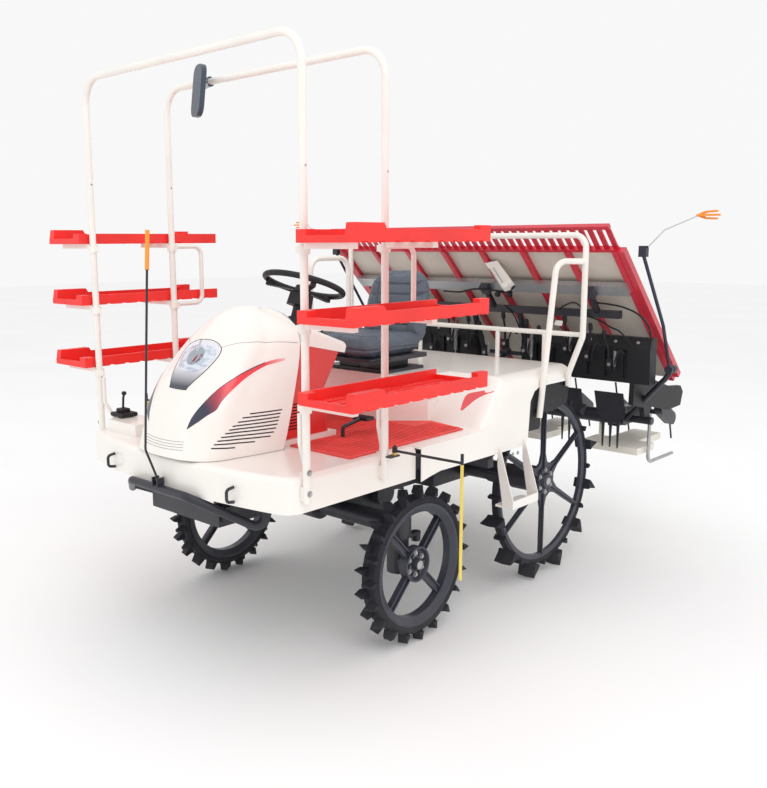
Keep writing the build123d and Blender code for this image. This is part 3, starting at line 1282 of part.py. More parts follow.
def platform_frame():
    """Red ribs between the seedling lanes, side channels and the slatted guard on top."""
    half = ROWS * ROW_PITCH / 2
    slats = round(2 * half / 46)
    with BuildPart() as frame:
        for lane in range(ROWS + 1):
            x = -half + lane * ROW_PITCH
            add(platform_box(x - RIB_T / 2, x + RIB_T / 2, SLAT_L - 8, PLATFORM_L, -30,
                             -PLATFORM_T / 2 - RUNNING_GAP))
        for n in range(slats + 1):
            x = -half + n * 2 * half / slats
            add(platform_box(x - 13, x + 13, 6, SLAT_L - 6, -4, 4))
        add(platform_box(-half - RIB_T / 2, half + RIB_T / 2, 0, 22, -10, 10))
        add(platform_box(-half - RIB_T / 2, half + RIB_T / 2, SLAT_L - 14, SLAT_L, -22, 9))
        for side in (1, -1):
            near, far = sorted((side * (half + 10), side * (half + 46)))
            middle = (near + far) / 2
            add(platform_box(near, far, SLAT_L - 4, PLATFORM_L - 30, -24, 9))
            add(platform_box(middle - 7, middle + 7, SLAT_L + 10, PLATFORM_L, 0, 12), mode=Mode.SUBTRACT)
    return frame.part


def platform_panels():
    half = ROWS * ROW_PITCH / 2
    with BuildPart() as panels:
        for lane in range(ROWS):
            x = -half + lane * ROW_PITCH
            add(platform_box(x + 2, x + ROW_PITCH - 2, SLAT_L + 1, PLATFORM_L, -PLATFORM_T / 2,
                             PLATFORM_T / 2))
    return panels.part


def platform_rail():
    half = ROWS * ROW_PITCH / 2
    return platform_box(-half, half, RAIL_AT, RAIL_AT + 70, RAIL_BACK, -30 - RUNNING_GAP)


def line_marker():
    """Left line marker: a leaning arm with a box head, a wire and the orange fork."""
    base = LINE_PIVOT
    elbow = (FRONT_AXLE_X - 1184, base[1], 1560)
    fork_x, fork_y, fork_z = FRONT_AXLE_X - 1170, base[1] + 245, 1730
    with BuildPart() as marker:
        add(tube((base, (base[0] + 100, base[1], base[2] + 225), elbow), 8, 80))
        add(rod_x(base[1], base[2], 20, base[0] - 14, base[0] + 14))
        add(rod_x(base[1], base[2], LINE_PIN_R + PIVOT_FIT, base[0] - 20, base[0] + 20), mode=Mode.SUBTRACT)
        add(block((elbow[0] - 14, elbow[1] - 18, elbow[2] - 10),
                  (elbow[0] + 14, elbow[1] + 18, elbow[2] + 40)))
        add(tube(((elbow[0], elbow[1] + 16, elbow[2] + 30), (fork_x, elbow[1] + 100, fork_z - 60),
                  (fork_x, fork_y + 5, fork_z)), 3, 30))
        add(block((fork_x - 22, fork_y, fork_z - 4), (fork_x + 22, fork_y + 30, fork_z + 4)))
        for side in (1, -1):
            add(block((fork_x + side * 16 - 6, fork_y + 28, fork_z - 4),
                      (fork_x + side * 16 + 6, fork_y + 87, fork_z + 4)))
    return marker.part


def main():
    place_wheels()
    left_knuckle = knuckle()
    left_marker = line_marker()
    left_side_marker = side_marker()
    pieces = {
        "front_axle_case": front_axle_case(),
        "knuckle_left": left_knuckle,
        "knuckle_right": mirror(left_knuckle, about=Plane.XZ),
        "tie_rod": tie_rod(),
        "transmission_case": transmission_case(),
        "chassis_frame": chassis_frame(),
        "engine_block": engine_block(),
        "deck": deck(),
        "rear_body": rear_body(),
        "floor_mats": floor_mats(),
        "bonnet": bonnet(),
        "headlamps": headlamps(),
        "console": console(),
        "console_cap": console_cap(),
        "dash_levers": dash_levers(),
        "steering_column": steering_column(),
        "steering_wheel": steering_wheel(),
        "foot_controls": foot_controls(),
        "seat_base": seat_base(),
        "seat": seat(),
        "front_bumper": front_bumper(),
        "tow_hooks": tow_hooks(),
        "centre_marker": centre_marker(),
        "front_hoop": hoop(FRONT_HOOP_X),
        "rear_hoop": hoop(REAR_HOOP_X),
        "marker_brackets": marker_brackets(),
        "grab_pipes": grab_pipes(),
        "seedling_trays": seedling_trays(),
        "tray_clamps": tray_clamps(),
        "mirror_unit": mirror_unit(),
        "rear_rails": rear_rails(),
        "rail_brackets": rail_brackets(),
        "boarding_steps": boarding_steps(),
        "side_marker_left": left_side_marker,
        "side_marker_right": mirror(left_side_marker, about=Plane.XZ),
        "lower_links": lower_links(),
        "top_link": top_link(),
        "planter_frame": planter_frame(),
        "planter_covers": planter_covers(),
        "planting_cases": planting_cases(),
        "planting_rotors": planting_rotors(),
        "floats": floats(),
        "levelling_forks": levelling_forks(),
        "planter_stands": planter_stands(),
        "platform_frame": platform_frame(),
        "platform_panels": platform_panels(),
        "platform_rail": platform_rail(),
        "line_marker_left": left_marker,
        "line_marker_right": mirror(left_marker, about=Plane.XZ),
    }
    for name, part in pieces.items():
        save(name, part)


main()
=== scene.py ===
import json
import math

import bmesh
import bpy
from mathutils import Matrix, Vector
from mathutils.bvhtree import BVHTree


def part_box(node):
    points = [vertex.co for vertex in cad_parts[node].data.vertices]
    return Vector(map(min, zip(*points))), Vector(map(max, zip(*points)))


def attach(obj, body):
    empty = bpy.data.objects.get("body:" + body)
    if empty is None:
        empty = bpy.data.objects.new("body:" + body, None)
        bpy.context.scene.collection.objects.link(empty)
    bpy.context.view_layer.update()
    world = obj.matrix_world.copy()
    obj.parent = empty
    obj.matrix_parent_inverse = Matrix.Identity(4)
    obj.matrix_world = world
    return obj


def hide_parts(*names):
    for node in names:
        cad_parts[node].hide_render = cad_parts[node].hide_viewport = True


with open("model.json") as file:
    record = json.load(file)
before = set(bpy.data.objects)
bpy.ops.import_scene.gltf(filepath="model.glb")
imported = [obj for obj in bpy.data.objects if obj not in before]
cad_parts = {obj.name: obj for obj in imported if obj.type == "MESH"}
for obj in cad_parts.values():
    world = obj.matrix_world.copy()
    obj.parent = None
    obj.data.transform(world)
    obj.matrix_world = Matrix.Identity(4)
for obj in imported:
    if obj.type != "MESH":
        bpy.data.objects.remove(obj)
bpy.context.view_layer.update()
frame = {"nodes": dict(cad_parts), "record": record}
NODES = frame["nodes"]
AXLE_X = 0.620    # the front axle along the frame's X, in metres

# Materials
COAT_ROUGHNESS = 0.08
GRAIN_DETAIL = 3.0
DUST_SCALE = 14.0
EDGE_RANGE = (0.52, 0.62)    # the pointiness of a rubbed edge
BLACK = (0, 0, 0)

# The photograph and the camera fitted to it, in pixels, metres and radians
PHOTO_WIDTH, PHOTO_HEIGHT = 767, 788
FOCAL, CENTRE_X, CENTRE_Y = 891.8, 337.5, 390.7
VIEW_DIRECTION = (-0.71213, -0.68238, -0.16501)
ROLL = math.radians(-0.391)
EYE = (2.7336 + AXLE_X, 2.7906, 1.6285)

# The studio: name, place, target, size and power of each lamp
LAMPS = (("key", (3.5, 4.5, 5.5), (0, 0, 0.8), 3.5, 85),
         ("top", (0, 0, 6.0), (0, 0, 0), 5.0, 35),
         ("fill", (5.5, -3.5, 3.0), (0, 0, 0.8), 3.0, 15))
SKY_STRENGTH = 0.94
FLOOR_HALF = 30

WELD = 1e-6    # points nearer than this become one

# The wheel hubs: name, X and Z of the axle, and the radius of the bolt circle, in millimetres
HUBS = (("front", 0, 325, 46), ("rear", -996, 475, 54))
HUB_BOLTS = 6
OUTSIDE_Y = 900    # beyond the outer faces of the wheels

# The seat's padding
PUFF_VOXEL = 0.006
PUFF_PRESSURE = 4.0
PUFF_FRAMES = 20
PUFF_CAP = 0.014

# The cushion by station: X, half width, half height and lift
CUSHION_Z = 1156
CUSHION_STATIONS = ((-588, 120, 10, 0), (-578, 170, 26, 0), (-556, 196, 34, 0), (-500, 208, 36, 2),
                    (-400, 212, 37, 3), (-300, 213, 38, 4), (-222, 210, 38, 2), (-182, 202, 32, -4),
                    (-166, 180, 22, -9), (-160, 130, 10, -12))
CUSHION_CHANNELS = (-300, -368, -436)
CUSHION_FACE_Z = 1185
CUSHION_PIPING_Z = 1150

# The backrest by station: height up its slope, half width and half thickness
BACK_FOOT = (-575, 0, 1140)
BACK_STATIONS = ((8, 150, 16), (22, 182, 30), (60, 194, 34), (130, 199, 35), (200, 196, 34),
                 (260, 186, 33), (310, 168, 31), (342, 142, 27), (360, 106, 20), (368, 60, 10))
BACK_CHANNELS = (88, 136, 184, 232, 282)
BACK_SIDE_SEAMS = ((222, 30), (282, 42))    # height, and how far it rises towards the edge

# The bonnet
NOSE_STEPS, SIDE_STEPS, TAIL_STEPS = 20, 12, 16
NOSE_POWER = 0.77      # the squareness of the nose in plan
HOOD_MIDDLE = (400, 0, 1000)
SHELL = 0.003
TAIL_Z = 1292          # the dome closes behind from this height
TAIL_MOST = 0.036      # the tail reaches no further back, clear of the steering wheel
SLIT_BOW = 4
NOSE_LINES = (896, 885, 874, 863)

# Under the seedling platform
CABLES = (
    ("cable_a", 0.009, ((-1420, 624, 1322), (-1420, 667, 1314), (-1420, 758, 1303),
                        (-1420, 853, 1270), (-1425, 920, 1190), (-1440, 930, 1100))),
    ("cable_b", 0.008, ((-1420, 560, 1245), (-1420, 644, 1232), (-1420, 710, 1192),
                        (-1425, 760, 1180), (-1440, 800, 1110))),
    ("cable_c", 0.008, ((-1420, 400, 1270), (-1420, 473, 1317), (-1420, 530, 1303),
                        (-1420, 590, 1240))),
    ("cable_d", 0.008, ((-1420, 70, 1296), (-1420, 126, 1245), (-1420, 159, 1203),
                        (-1430, 170, 1120))),
)
LEVER_Y = (-690, -565, -440, -315, -190, -65, 65, 190, 315, 440, 565, 690)
TOP_LINK_LEVER = -65
FORK_Z = 1730


def linear(hex_code):
    """A screen colour as linear RGB."""
    values = [int(hex_code[i:i + 2], 16) / 255 for i in (0, 2, 4)]
    return tuple(v / 12.92 if v <= 0.04045 else ((v + 0.055) / 1.055) ** 2.4 for v in values)


class Shader:
    """A small helper that wires one procedural material. vary comes before mix."""

    def __init__(self, name, colour, rough, metal=0.0, coat=0.0, spec=0.5):
        self.mat = bpy.data.materials.new(name)
        self.mat.use_nodes = True
        self.tree = self.mat.node_tree
        self.bsdf = self.tree.nodes["Principled BSDF"]
        self.colour = linear(colour)
        self.rough = rough
        for socket, value in (("Base Color", (*self.colour, 1)), ("Roughness", rough),
                              ("Metallic", metal), ("Coat Weight", coat),
                              ("Coat Roughness", COAT_ROUGHNESS), ("Specular IOR Level", spec)):
            self.bsdf.inputs[socket].default_value = value
        self.coords = self.node("ShaderNodeTexCoord").outputs["Object"]
        self.base = None

    def node(self, kind, **values):
        """A new node; a value goes to the input of that name, or else to the property."""
        made = self.tree.nodes.new(kind)
        for key, value in values.items():
            if key in made.inputs:
                made.inputs[key].default_value = value
            else:
                setattr(made, key, value)
        return made

    def link(self, out, into):
        self.tree.links.new(out, into)

    def noise(self, scale, detail=4.0, stretch=None):
        """Noise in the object's own coordinates, scaled along each axis by stretch."""
        found = self.node("ShaderNodeTexNoise", Scale=scale, Detail=detail)
        where = self.coords
        if stretch:
            mapping = self.node("ShaderNodeMapping", Scale=stretch)
            self.link(self.coords, mapping.inputs["Vector"])
            where = mapping.outputs["Vector"]
        self.link(where, found.inputs["Vector"])
        return found.outputs["Fac"]

    def ramp(self, factor, low, high, at=(0.35, 0.65)):
        """Colours from low to high, between two values of the factor."""
        made = self.node("ShaderNodeValToRGB")
        first, last = made.color_ramp.elements
        first.position, last.position = at
        first.color, last.color = (*low, 1), (*high, 1)
        self.link(factor, made.inputs["Fac"])
        return made.outputs["Color"]

    def remap(self, value, **limits):
        """A value moved into other limits."""
        made = self.node("ShaderNodeMapRange")
        for name, limit in limits.items():
            made.inputs[name.replace("_", " ").title()].default_value = limit
        self.link(value, made.inputs["Value"])
        return made.outputs["Result"]

    def along(self, axis, start, end):
        """0 at start and 1 at end along one axis of the object's own coordinates."""
        split = self.node("ShaderNodeSeparateXYZ")
        self.link(self.coords, split.inputs["Vector"])
        return self.remap(split.outputs[axis], from_min=start, from_max=end)

    def paint(self, colour):
        """Makes an output the base colour."""
        self.base = colour
        self.link(self.base, self.bsdf.inputs["Base Color"])
        return self

    def mix(self, factor, colour):
        """Mixes the base towards a colour by a factor."""
        mix = self.node("ShaderNodeMixRGB")
        mix.inputs["Color2"].default_value = (*linear(colour), 1)
        self.link(factor, mix.inputs["Fac"])
        self.link(self.base, mix.inputs["Color1"])
        return self.paint(mix.outputs["Color"])

    def vary(self, scale, amount, stretch=None):
        """Slow colour drift over the surface."""
        low = tuple(c * (1 - amount) for c in self.colour)
        high = tuple(min(1.0, c * (1 + amount)) for c in self.colour)
        return self.paint(self.ramp(self.noise(scale, stretch=stretch), low, high))

    def gloss(self, scale, spread, stretch=None):
        """Roughness that wanders, as on handled surfaces."""
        rough = self.remap(self.noise(scale, stretch=stretch),
                           to_min=max(0.02, self.rough - spread),
                           to_max=min(1.0, self.rough + spread))
        self.link(rough, self.bsdf.inputs["Roughness"])
        return self

    def grain(self, scale, strength, distance, stretch=None):
        """A fine bump."""
        made = self.node("ShaderNodeBump", Strength=strength, Distance=distance)
        self.link(self.noise(scale, GRAIN_DETAIL, stretch), made.inputs["Height"])
        self.link(made.outputs["Normal"], self.bsdf.inputs["Normal"])
        return self

    def product(self, one, other, amount):
        """Two values and a number multiplied together."""
        both = self.node("ShaderNodeMath", operation="MULTIPLY")
        self.link(one, both.inputs[0])
        self.link(other, both.inputs[1])
        scaled = self.node("ShaderNodeMath", operation="MULTIPLY")
        self.link(both.outputs[0], scaled.inputs[0])
        scaled.inputs[1].default_value = amount
        return scaled.outputs[0]

    def wear(self, colour, amount, scale=60.0):
        """Rubbed edges, found by pointiness and broken up by noise."""
        edge = self.node("ShaderNodeNewGeometry").outputs["Pointiness"]
        ramp = self.ramp(edge, BLACK, (1, 1, 1), EDGE_RANGE)
        return self.mix(self.product(ramp, self.noise(scale), amount), colour)

    def dust(self, colour, low, high, amount):
        """Dust that thins out with height."""
        patches = self.noise(DUST_SCALE)
        return self.mix(self.product(self.along("Z", high, low), patches, amount), colour)


def make(name, colour, rough, drift=(5.0, 0.08), shine=(50, 0.08), grain=(300, 0.15, 0.0005),
         **options):
    """drift is (scale, amount), shine (scale, spread) and grain (scale, strength, depth)."""
    shade = Shader(name, colour, rough, **options)
    return shade.vary(*drift).gloss(*shine).grain(*grain)


WHITE = make("white_paint", "F6F2EC", 0.3, (2.0, 0.02), (25, 0.05), (220, 0.04, 0.0005),
             coat=0.35).mat
RAIL_WHITE = make("rail_paint", "F1EDE6", 0.34, (6.0, 0.03), (60, 0.06), (260, 0.06, 0.0005),
                  coat=0.3).mat
TRAY_RED = make("tray_red", "F2302B", 0.42, grain=(500, 0.2, 0.0004), spec=0.45).mat
CONSOLE_RED = make("console_red", "DC2F2C", 0.34, (4.0, 0.05), (30, 0.05), (260, 0.06, 0.0005),
                   coat=0.3).mat
PLATFORM_RED = make("platform_red", "C81A33", 0.34, (6.0, 0.06), (40, 0.08), (300, 0.08, 0.0005),
                    coat=0.3)
PLATFORM_RED = PLATFORM_RED.wear("E86A76", 0.3).mat
MAT_RED = make("mat_red", "EB5954", 0.75, (9.0, 0.1), (90, 0.08), (700, 0.5, 0.0006), spec=0.3).mat
DARK = make("frame_dark", "24252E", 0.42, (6.0, 0.2), (30, 0.12), (240, 0.2, 0.0006), coat=0.1)
DARK = DARK.wear("5A5A60", 0.35).mat
WHEEL_DARK = make("wheel_dark", "2B2D3B", 0.45, (5.0, 0.15), (30, 0.1), (200, 0.15, 0.0006),
                  coat=0.1)
WHEEL_DARK = WHEEL_DARK.wear("5C5E68", 0.3).dust("7C766C", 0.0, 0.5, 0.15).mat
TYRE = make("tyre_rubber", "25262D", 0.72, (8.0, 0.18), (60, 0.1), (450, 0.4, 0.0006), spec=0.35)
TYRE = TYRE.dust("6E6A64", 0.0, 0.35, 0.25).mat
ENGINE = make("engine_iron", "3A3A3E", 0.65, (9.0, 0.2), (50, 0.1), (160, 0.5, 0.001)).mat
STEEL = make("zinc_steel", "B4B4B6", 0.38, (25.0, 0.12), (60, 0.12), (350, 0.1, 0.0005),
             metal=0.9).mat
ALU = make("aluminium_rail", "B9BABD", 0.35, (8.0, 0.06, (1, 12, 1)), (70, 0.08, (1, 20, 1)),
           (400, 0.08, 0.0004), metal=0.85).mat
PLASTIC = make("black_plastic", "1B1B1F", 0.5, (7.0, 0.15), (60, 0.1), (600, 0.3, 0.0004),
               spec=0.4).mat
PANEL_WHITE = make("white_plastic", "ECE9E2", 0.45, (6.0, 0.04), (40, 0.06), (300, 0.1, 0.0004)).mat
PANEL = make("beige_panel", "D2CABF", 0.5, (5.0, 0.05), (40, 0.08)).mat
FLOAT = make("float_cream", "EDE8DC", 0.5, (5.0, 0.05), (40, 0.08)).mat
ORANGE = make("marker_orange", "F59A2E", 0.42, (8.0, 0.06), (50, 0.08), (300, 0.1, 0.0005)).mat
SEAT_GREY = make("seat_vinyl", "59616C", 0.5, (6.0, 0.1), (60, 0.1), (420, 0.35, 0.0006),
                 spec=0.4).mat
SLATE = make("mirror_slate", "3A4654", 0.35, (5.0, 0.08), (50, 0.08), (420, 0.1, 0.0004)).mat
GLASS = make("mirror_glass", "AEB6BE", 0.05, (3.0, 0.04), (20, 0.02), (60, 0.01, 0.0002),
             metal=1.0).mat
LAMP = make("lamp_lens", "D9E0EA", 0.08, (6.0, 0.05), (30, 0.03), (80, 0.02, 0.0004), coat=0.8,
            spec=0.7)
# Bluish-grey streaks on the lens are painted reflections
LENS_PAINTED_REFLECTIONS = LAMP.ramp(LAMP.noise(26.0, 2.0, (0.4, 1, 3)), BLACK, (0.6, 0.6, 0.6), (0.45, 0.62))
LAMP = LAMP.mix(LENS_PAINTED_REFLECTIONS, "8E9BB2").mat
LINE_GREY = make("seam_grey", "8C888C", 0.6, (9.0, 0.05), (60, 0.05), (300, 0.1, 0.0003)).mat
RED_MARK = make("stripe_red", "EE5A60", 0.35, (6.0, 0.06), (40, 0.06), (300, 0.04, 0.0003),
                coat=0.3).mat

STRIPE = make("bonnet_stripe", "EC4450", 0.32, (6.0, 0.06), (40, 0.06), (300, 0.04, 0.0003),
              coat=0.3)
STRIPE = STRIPE.mix(STRIPE.along("X", AXLE_X + 0.635, AXLE_X + 0.715), "33344A")
STRIPE = STRIPE.mix(STRIPE.along("X", AXLE_X + 0.47, AXLE_X + 0.33), "F6DEDD").mat

HOUSING_SHADE = make("lamp_housing", "E4E4EA", 0.35, (6.0, 0.05), (40, 0.06), (300, 0.05, 0.0003),
                     coat=0.3)
HOUSING_SHADE = HOUSING_SHADE.mix(HOUSING_SHADE.along("Z", 1.15, 1.085), "3A3D4C").mat

YELLOW = make("marker_yellow", "E9CF62", 0.42, (8.0, 0.08), (50, 0.08), (300, 0.1, 0.0005))
YELLOW = YELLOW.mix(YELLOW.along("Z", 0.840, 0.842), "202028").mat
DARK_ORANGE = make("marker_dark_orange", "22222A", 0.45, (6.0, 0.15), (40, 0.1))
DARK_ORANGE = DARK_ORANGE.mix(DARK_ORANGE.along("Z", 1.531, 1.533), "F59A2E").mat
WIRE_SHADE = make("marker_arm", "26283A", 0.42, (6.0, 0.15), (40, 0.1))
for sign in (1, -1):
    WIRE_SHADE.mix(WIRE_SHADE.along("Y", sign * 0.986, sign * 0.99), "C8C8CC")
    WIRE_SHADE.mix(WIRE_SHADE.along("Y", sign * 1.209, sign * 1.21), "F59A2E")
WIRE_SHADE = WIRE_SHADE.mat

BY_SLOT = {
    "frame_dark": DARK, "body_white": WHITE, "rail_white": RAIL_WHITE, "console_red": CONSOLE_RED,
    "tray_red": TRAY_RED, "platform_red": PLATFORM_RED, "mat_red": MAT_RED,
    "wheel_dark": WHEEL_DARK, "tyre": TYRE, "steel": STEEL, "plastic_dark": PLASTIC,
    "seat_grey": SEAT_GREY, "engine": ENGINE, "panel_beige": PANEL, "float_cream": FLOAT,
    "rail_alu": ALU, "marker_yellow": YELLOW, "mirror_slate": SLATE, "lamp_clear": LAMP,
}
BY_NODE = {
    "centre_marker": DARK_ORANGE, "line_marker_left": WIRE_SHADE, "line_marker_right": WIRE_SHADE,
}
for entry in frame["record"]["subparts"]:
    obj = NODES[entry["node"]]
    obj.data.materials.clear()
    obj.data.materials.append(BY_NODE.get(entry["node"], BY_SLOT[entry["material_slot"]]))


def P(x, y, z):
    """A point given in millimetres, X measured from the front axle."""
    return Vector((AXLE_X + x / 1000, y / 1000, z / 1000))


def mesh_of(name, verts, faces):
    """A new mesh."""
    mesh = bpy.data.meshes.new(name)
    mesh.from_pydata(verts, [], faces)
    return mesh


def placed(name, data):
    """A new object in the scene."""
    made = bpy.data.objects.new(name, data)
    bpy.context.scene.collection.objects.link(made)
    return made


def circle(centre, side, other, radius, sides):
    """Points round a centre, in the plane of two unit vectors."""
    angles = [2 * math.pi * k / sides for k in range(sides)]
    return [centre + (side * math.cos(t) + other * math.sin(t)) * radius for t in angles]


def camera():
    """The photograph's camera, fitted to it outside this script."""
    longest = max(PHOTO_WIDTH, PHOTO_HEIGHT)
    d = Vector(VIEW_DIRECTION).normalized()
    right = d.cross(Vector((0, 0, 1))).normalized()
    up = right.cross(d)
    r2 = right * math.cos(ROLL) + up * math.sin(ROLL)
    u2 = -right * math.sin(ROLL) + up * math.cos(ROLL)
    data = bpy.data.cameras.new("camera")
    data.lens = FOCAL / longest * data.sensor_width
    data.shift_x = (PHOTO_WIDTH / 2 - CENTRE_X) / longest
    data.shift_y = (CENTRE_Y - PHOTO_HEIGHT / 2) / longest
    data.clip_end = 200
    cam = placed("camera", data)
    place = Matrix((r2, u2, -d)).transposed().to_4x4()
    place.translation = Vector(EYE)
    cam.matrix_world = place
    bpy.context.scene.camera = cam


def light(name, place, target, size, power):
    """A square lamp at a place, turned to its target."""
    data = bpy.data.lights.new(name, "AREA")
    data.size = size
    data.energy = power
    lamp = placed(name, data)
    lamp.location = place
    lamp.rotation_euler = (Vector(target) - Vector(place)).to_track_quat("-Z", "Y").to_euler()


def studio():
    """White surroundings, three lamps and a pale floor."""
    world = bpy.data.worlds.new("studio")
    world.use_nodes = True
    sky = world.node_tree.nodes["Background"]
    sky.inputs["Color"].default_value = (1, 1, 1, 1)
    sky.inputs["Strength"].default_value = SKY_STRENGTH
    bpy.context.scene.world = world
    bpy.context.scene.view_settings.view_transform = "Standard"
    for lamp in LAMPS:
        light(*lamp)
    corners = [(x * FLOOR_HALF, y * FLOOR_HALF, 0) for x, y in ((-1, -1), (1, -1), (1, 1), (-1, 1))]
    mesh = mesh_of("floor", corners, [(0, 1, 2, 3)])
    floor = placed("floor", mesh)
    paint = Shader("floor_pale", "FBFBFB", 0.9, spec=0.1).vary(0.7, 0.01).mat
    mesh.materials.append(paint)


class Kit:
    """Collects small solids into one mesh."""

    def __init__(self):
        self.verts, self.faces = [], []

    def add(self, verts, faces):
        base = len(self.verts)
        self.verts += [Vector(v) for v in verts]
        self.faces += [[base + i for i in face] for face in faces]

    def rings(self, rings, closed=False):
        """Skins a run of rings and caps both ends."""
        n = len(rings[0])
        verts = [v for ring in rings for v in ring]
        faces = []
        count = len(rings)
        for i in range(count if closed else count - 1):
            a, b = i * n, ((i + 1) % count) * n
            faces += [(a + k, a + (k + 1) % n, b + (k + 1) % n, b + k) for k in range(n)]
        if not closed:
            faces += [tuple(reversed(range(n))), tuple((count - 1) * n + k for k in range(n))]
        self.add(verts, faces)

    def tube(self, points, radius, sides=12, steps=0, closed=False):
        """A round bar along points; steps rounds the corners with a smooth curve."""
        line = smooth_line(points, steps, closed) if steps else [Vector(p) for p in points]
        side = None
        rings = []
        count = len(line)
        for i, p in enumerate(line):
            before = line[i - 1] if i or closed else p
            after = line[(i + 1) % count] if i < count - 1 or closed else p
            tangent = (after - before).normalized()
            if side is None:
                side = tangent.orthogonal().normalized()
            side = (side - tangent * side.dot(tangent)).normalized()
            rings.append(circle(p, side, tangent.cross(side), radius, sides))
        self.rings(rings, closed)

    def lathe(self, profile, centre, axis, sides=20):
        """Turned form: profile holds (radius, height) along axis from centre."""
        axis = Vector(axis).normalized()
        side = axis.orthogonal().normalized()
        other = axis.cross(side)
        self.rings([circle(Vector(centre) + axis * h, side, other, max(r, 1e-5), sides)
                    for r, h in profile])

    def slab(self, outline, depth, chamfer=0.001):
        """A plate: a convex outline pushed along depth, its edges chamfered."""
        depth = Vector(depth)
        outline = [Vector(p) for p in outline]
        middle = sum(outline, Vector()) / len(outline)
        span = max((p - middle).length for p in outline)
        keep = 1 - chamfer / span
        unit = depth.normalized() * chamfer
        small = [middle + (p - middle) * keep for p in outline]
        self.rings([small, [p + unit for p in outline], [p + depth - unit for p in outline],
                    [p + depth for p in small]])

    def brick(self, low, high, chamfer=0.0015):
        """A block between two corners with chamfered ends."""
        low, high = Vector(low), Vector(high)
        outline = [(x, y, low.z) for x, y in ((low.x, low.y), (high.x, low.y), (high.x, high.y),
                                              (low.x, high.y))]
        self.slab(outline, (0, 0, high.z - low.z), chamfer)

    def bolt(self, centre, axis, radius):
        """A hexagon head on a washer."""
        axis = Vector(axis).normalized()
        washer = [(radius * 1.5, -0.0003), (radius * 1.55, 0.0008), (radius * 1.45, 0.0014)]
        self.lathe(washer, centre, axis, 18)
        top = radius * 0.75
        head = [(radius, 0.001), (radius, top), (radius * 0.82, top + radius * 0.14)]
        self.lathe(head, centre, axis, 6)

    def skin(self, grid, proud=0.0004, sunk=0.0012):
        """A thin closed skin over a grid of (point, normal)."""
        rows, cols = len(grid), len(grid[0])
        top = [p + n * proud for row in grid for p, n in row]
        low = [p - n * sunk for row in grid for p, n in row]
        total = rows * cols
        faces = []
        for r in range(rows - 1):
            for c in range(cols - 1):
                a = r * cols + c
                quad = (a, a + 1, a + cols + 1, a + cols)
                faces += [quad, tuple(total + k for k in reversed(quad))]
        rim = [(0, c) for c in range(cols)] + [(r, cols - 1) for r in range(1, rows)]
        rim += [(rows - 1, c) for c in range(cols - 2, -1, -1)]
        rim += [(r, 0) for r in range(rows - 2, 0, -1)]
        ids = [r * cols + c for r, c in rim]
        for i, a in enumerate(ids):
            b = ids[(i + 1) % len(ids)]
            faces.append((b, a, total + a, total + b))
        self.add(top + low, faces)

    def mirrored(self):
        """Adds the mirror image across the centre plane."""
        twin = [Vector((v.x, -v.y, v.z)) for v in self.verts]
        base = len(self.verts)
        self.faces += [[base + i for i in reversed(face)] for face in list(self.faces)]
        self.verts += twin
        return self

    def build(self, name, material, body, slot, angle=35.0):
        """Makes the visible piece: edges sharper than angle stay sharp."""
        mesh = mesh_of(name, [tuple(v) for v in self.verts], self.faces)
        work = bmesh.new()
        work.from_mesh(mesh)
        bmesh.ops.remove_doubles(work, verts=work.verts, dist=WELD)
        bmesh.ops.dissolve_degenerate(work, edges=work.edges, dist=WELD)
        bmesh.ops.recalc_face_normals(work, faces=work.faces)
        work.to_mesh(mesh)
        work.free()
        mesh.materials.append(material)
        mesh.shade_smooth()
        mesh.set_sharp_from_angle(angle=math.radians(angle))
        made = placed(name, mesh)
        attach(made, body)
        return made


def between(p0, p1, p2, p3, t):
    """The Catmull-Rom curve from p1 (t = 0) to p2 (t = 1)."""
    return 0.5 * (2 * p1 + (p2 - p0) * t + (2 * p0 - 5 * p1 + 4 * p2 - p3) * t * t
                  + (3 * p1 - p0 - 3 * p2 + p3) * t ** 3)


def smooth_line(points, steps, closed=False):
    """A curve through the points."""
    pts = [Vector(p) for p in points]
    n = len(pts)
    line = []
    for i in range(n if closed else n - 1):
        p1, p2 = pts[i], pts[(i + 1) % n]
        p0 = pts[i - 1] if i or closed else p1 * 2 - p2
        p3 = pts[(i + 2) % n] if i + 2 < n or closed else p2 * 2 - p1
        line += [between(p0, p1, p2, p3, k / steps) for k in range(steps)]
    if not closed:
        line.append(pts[-1])
    return line


def tree_of(node):
    """A search tree of a node's surface."""
    mesh = NODES[node].data
    return BVHTree.FromPolygons([v.co.copy() for v in mesh.vertices],
                                [tuple(p.vertices) for p in mesh.polygons])


def sample(line, count):
    """Evenly spaced points on a polyline."""
    total = sum((b - a).length for a, b in zip(line, line[1:]))
    out, i, done = [], 0, 0.0
    for k in range(count):
        goal = total * k / (count - 1)
        while i < len(line) - 2 and done + (line[i + 1] - line[i]).length < goal:
            done += (line[i + 1] - line[i]).length
            i += 1
        seg = (line[i + 1] - line[i]).length
        out.append(line[i].lerp(line[i + 1], min(1.0, (goal - done) / seg if seg else 0)))
    return out


def traced(points, count):
    """Evenly spaced points on the curve through points given in millimetres."""
    return sample(smooth_line([P(*p) for p in points], 6), count)


def flipped(points, side):
    """Points of the left side (side 1) or their mirror images (side -1)."""
    return [(x, side * y, z) for x, y, z in points]


def band(kit, lay, upper, lower, cols, rows, proud=0.0004, sunk=0.0012):
    """A marking between two edge lines; lay gives the surface's point and normal near a point."""
    top, low = traced(upper, cols), traced(lower, cols)
    kit.skin([[lay(top[c].lerp(low[c], r / (rows - 1))) for c in range(cols)] for r in range(rows)],
             proud, sunk)


BODY = tree_of("rear_body")

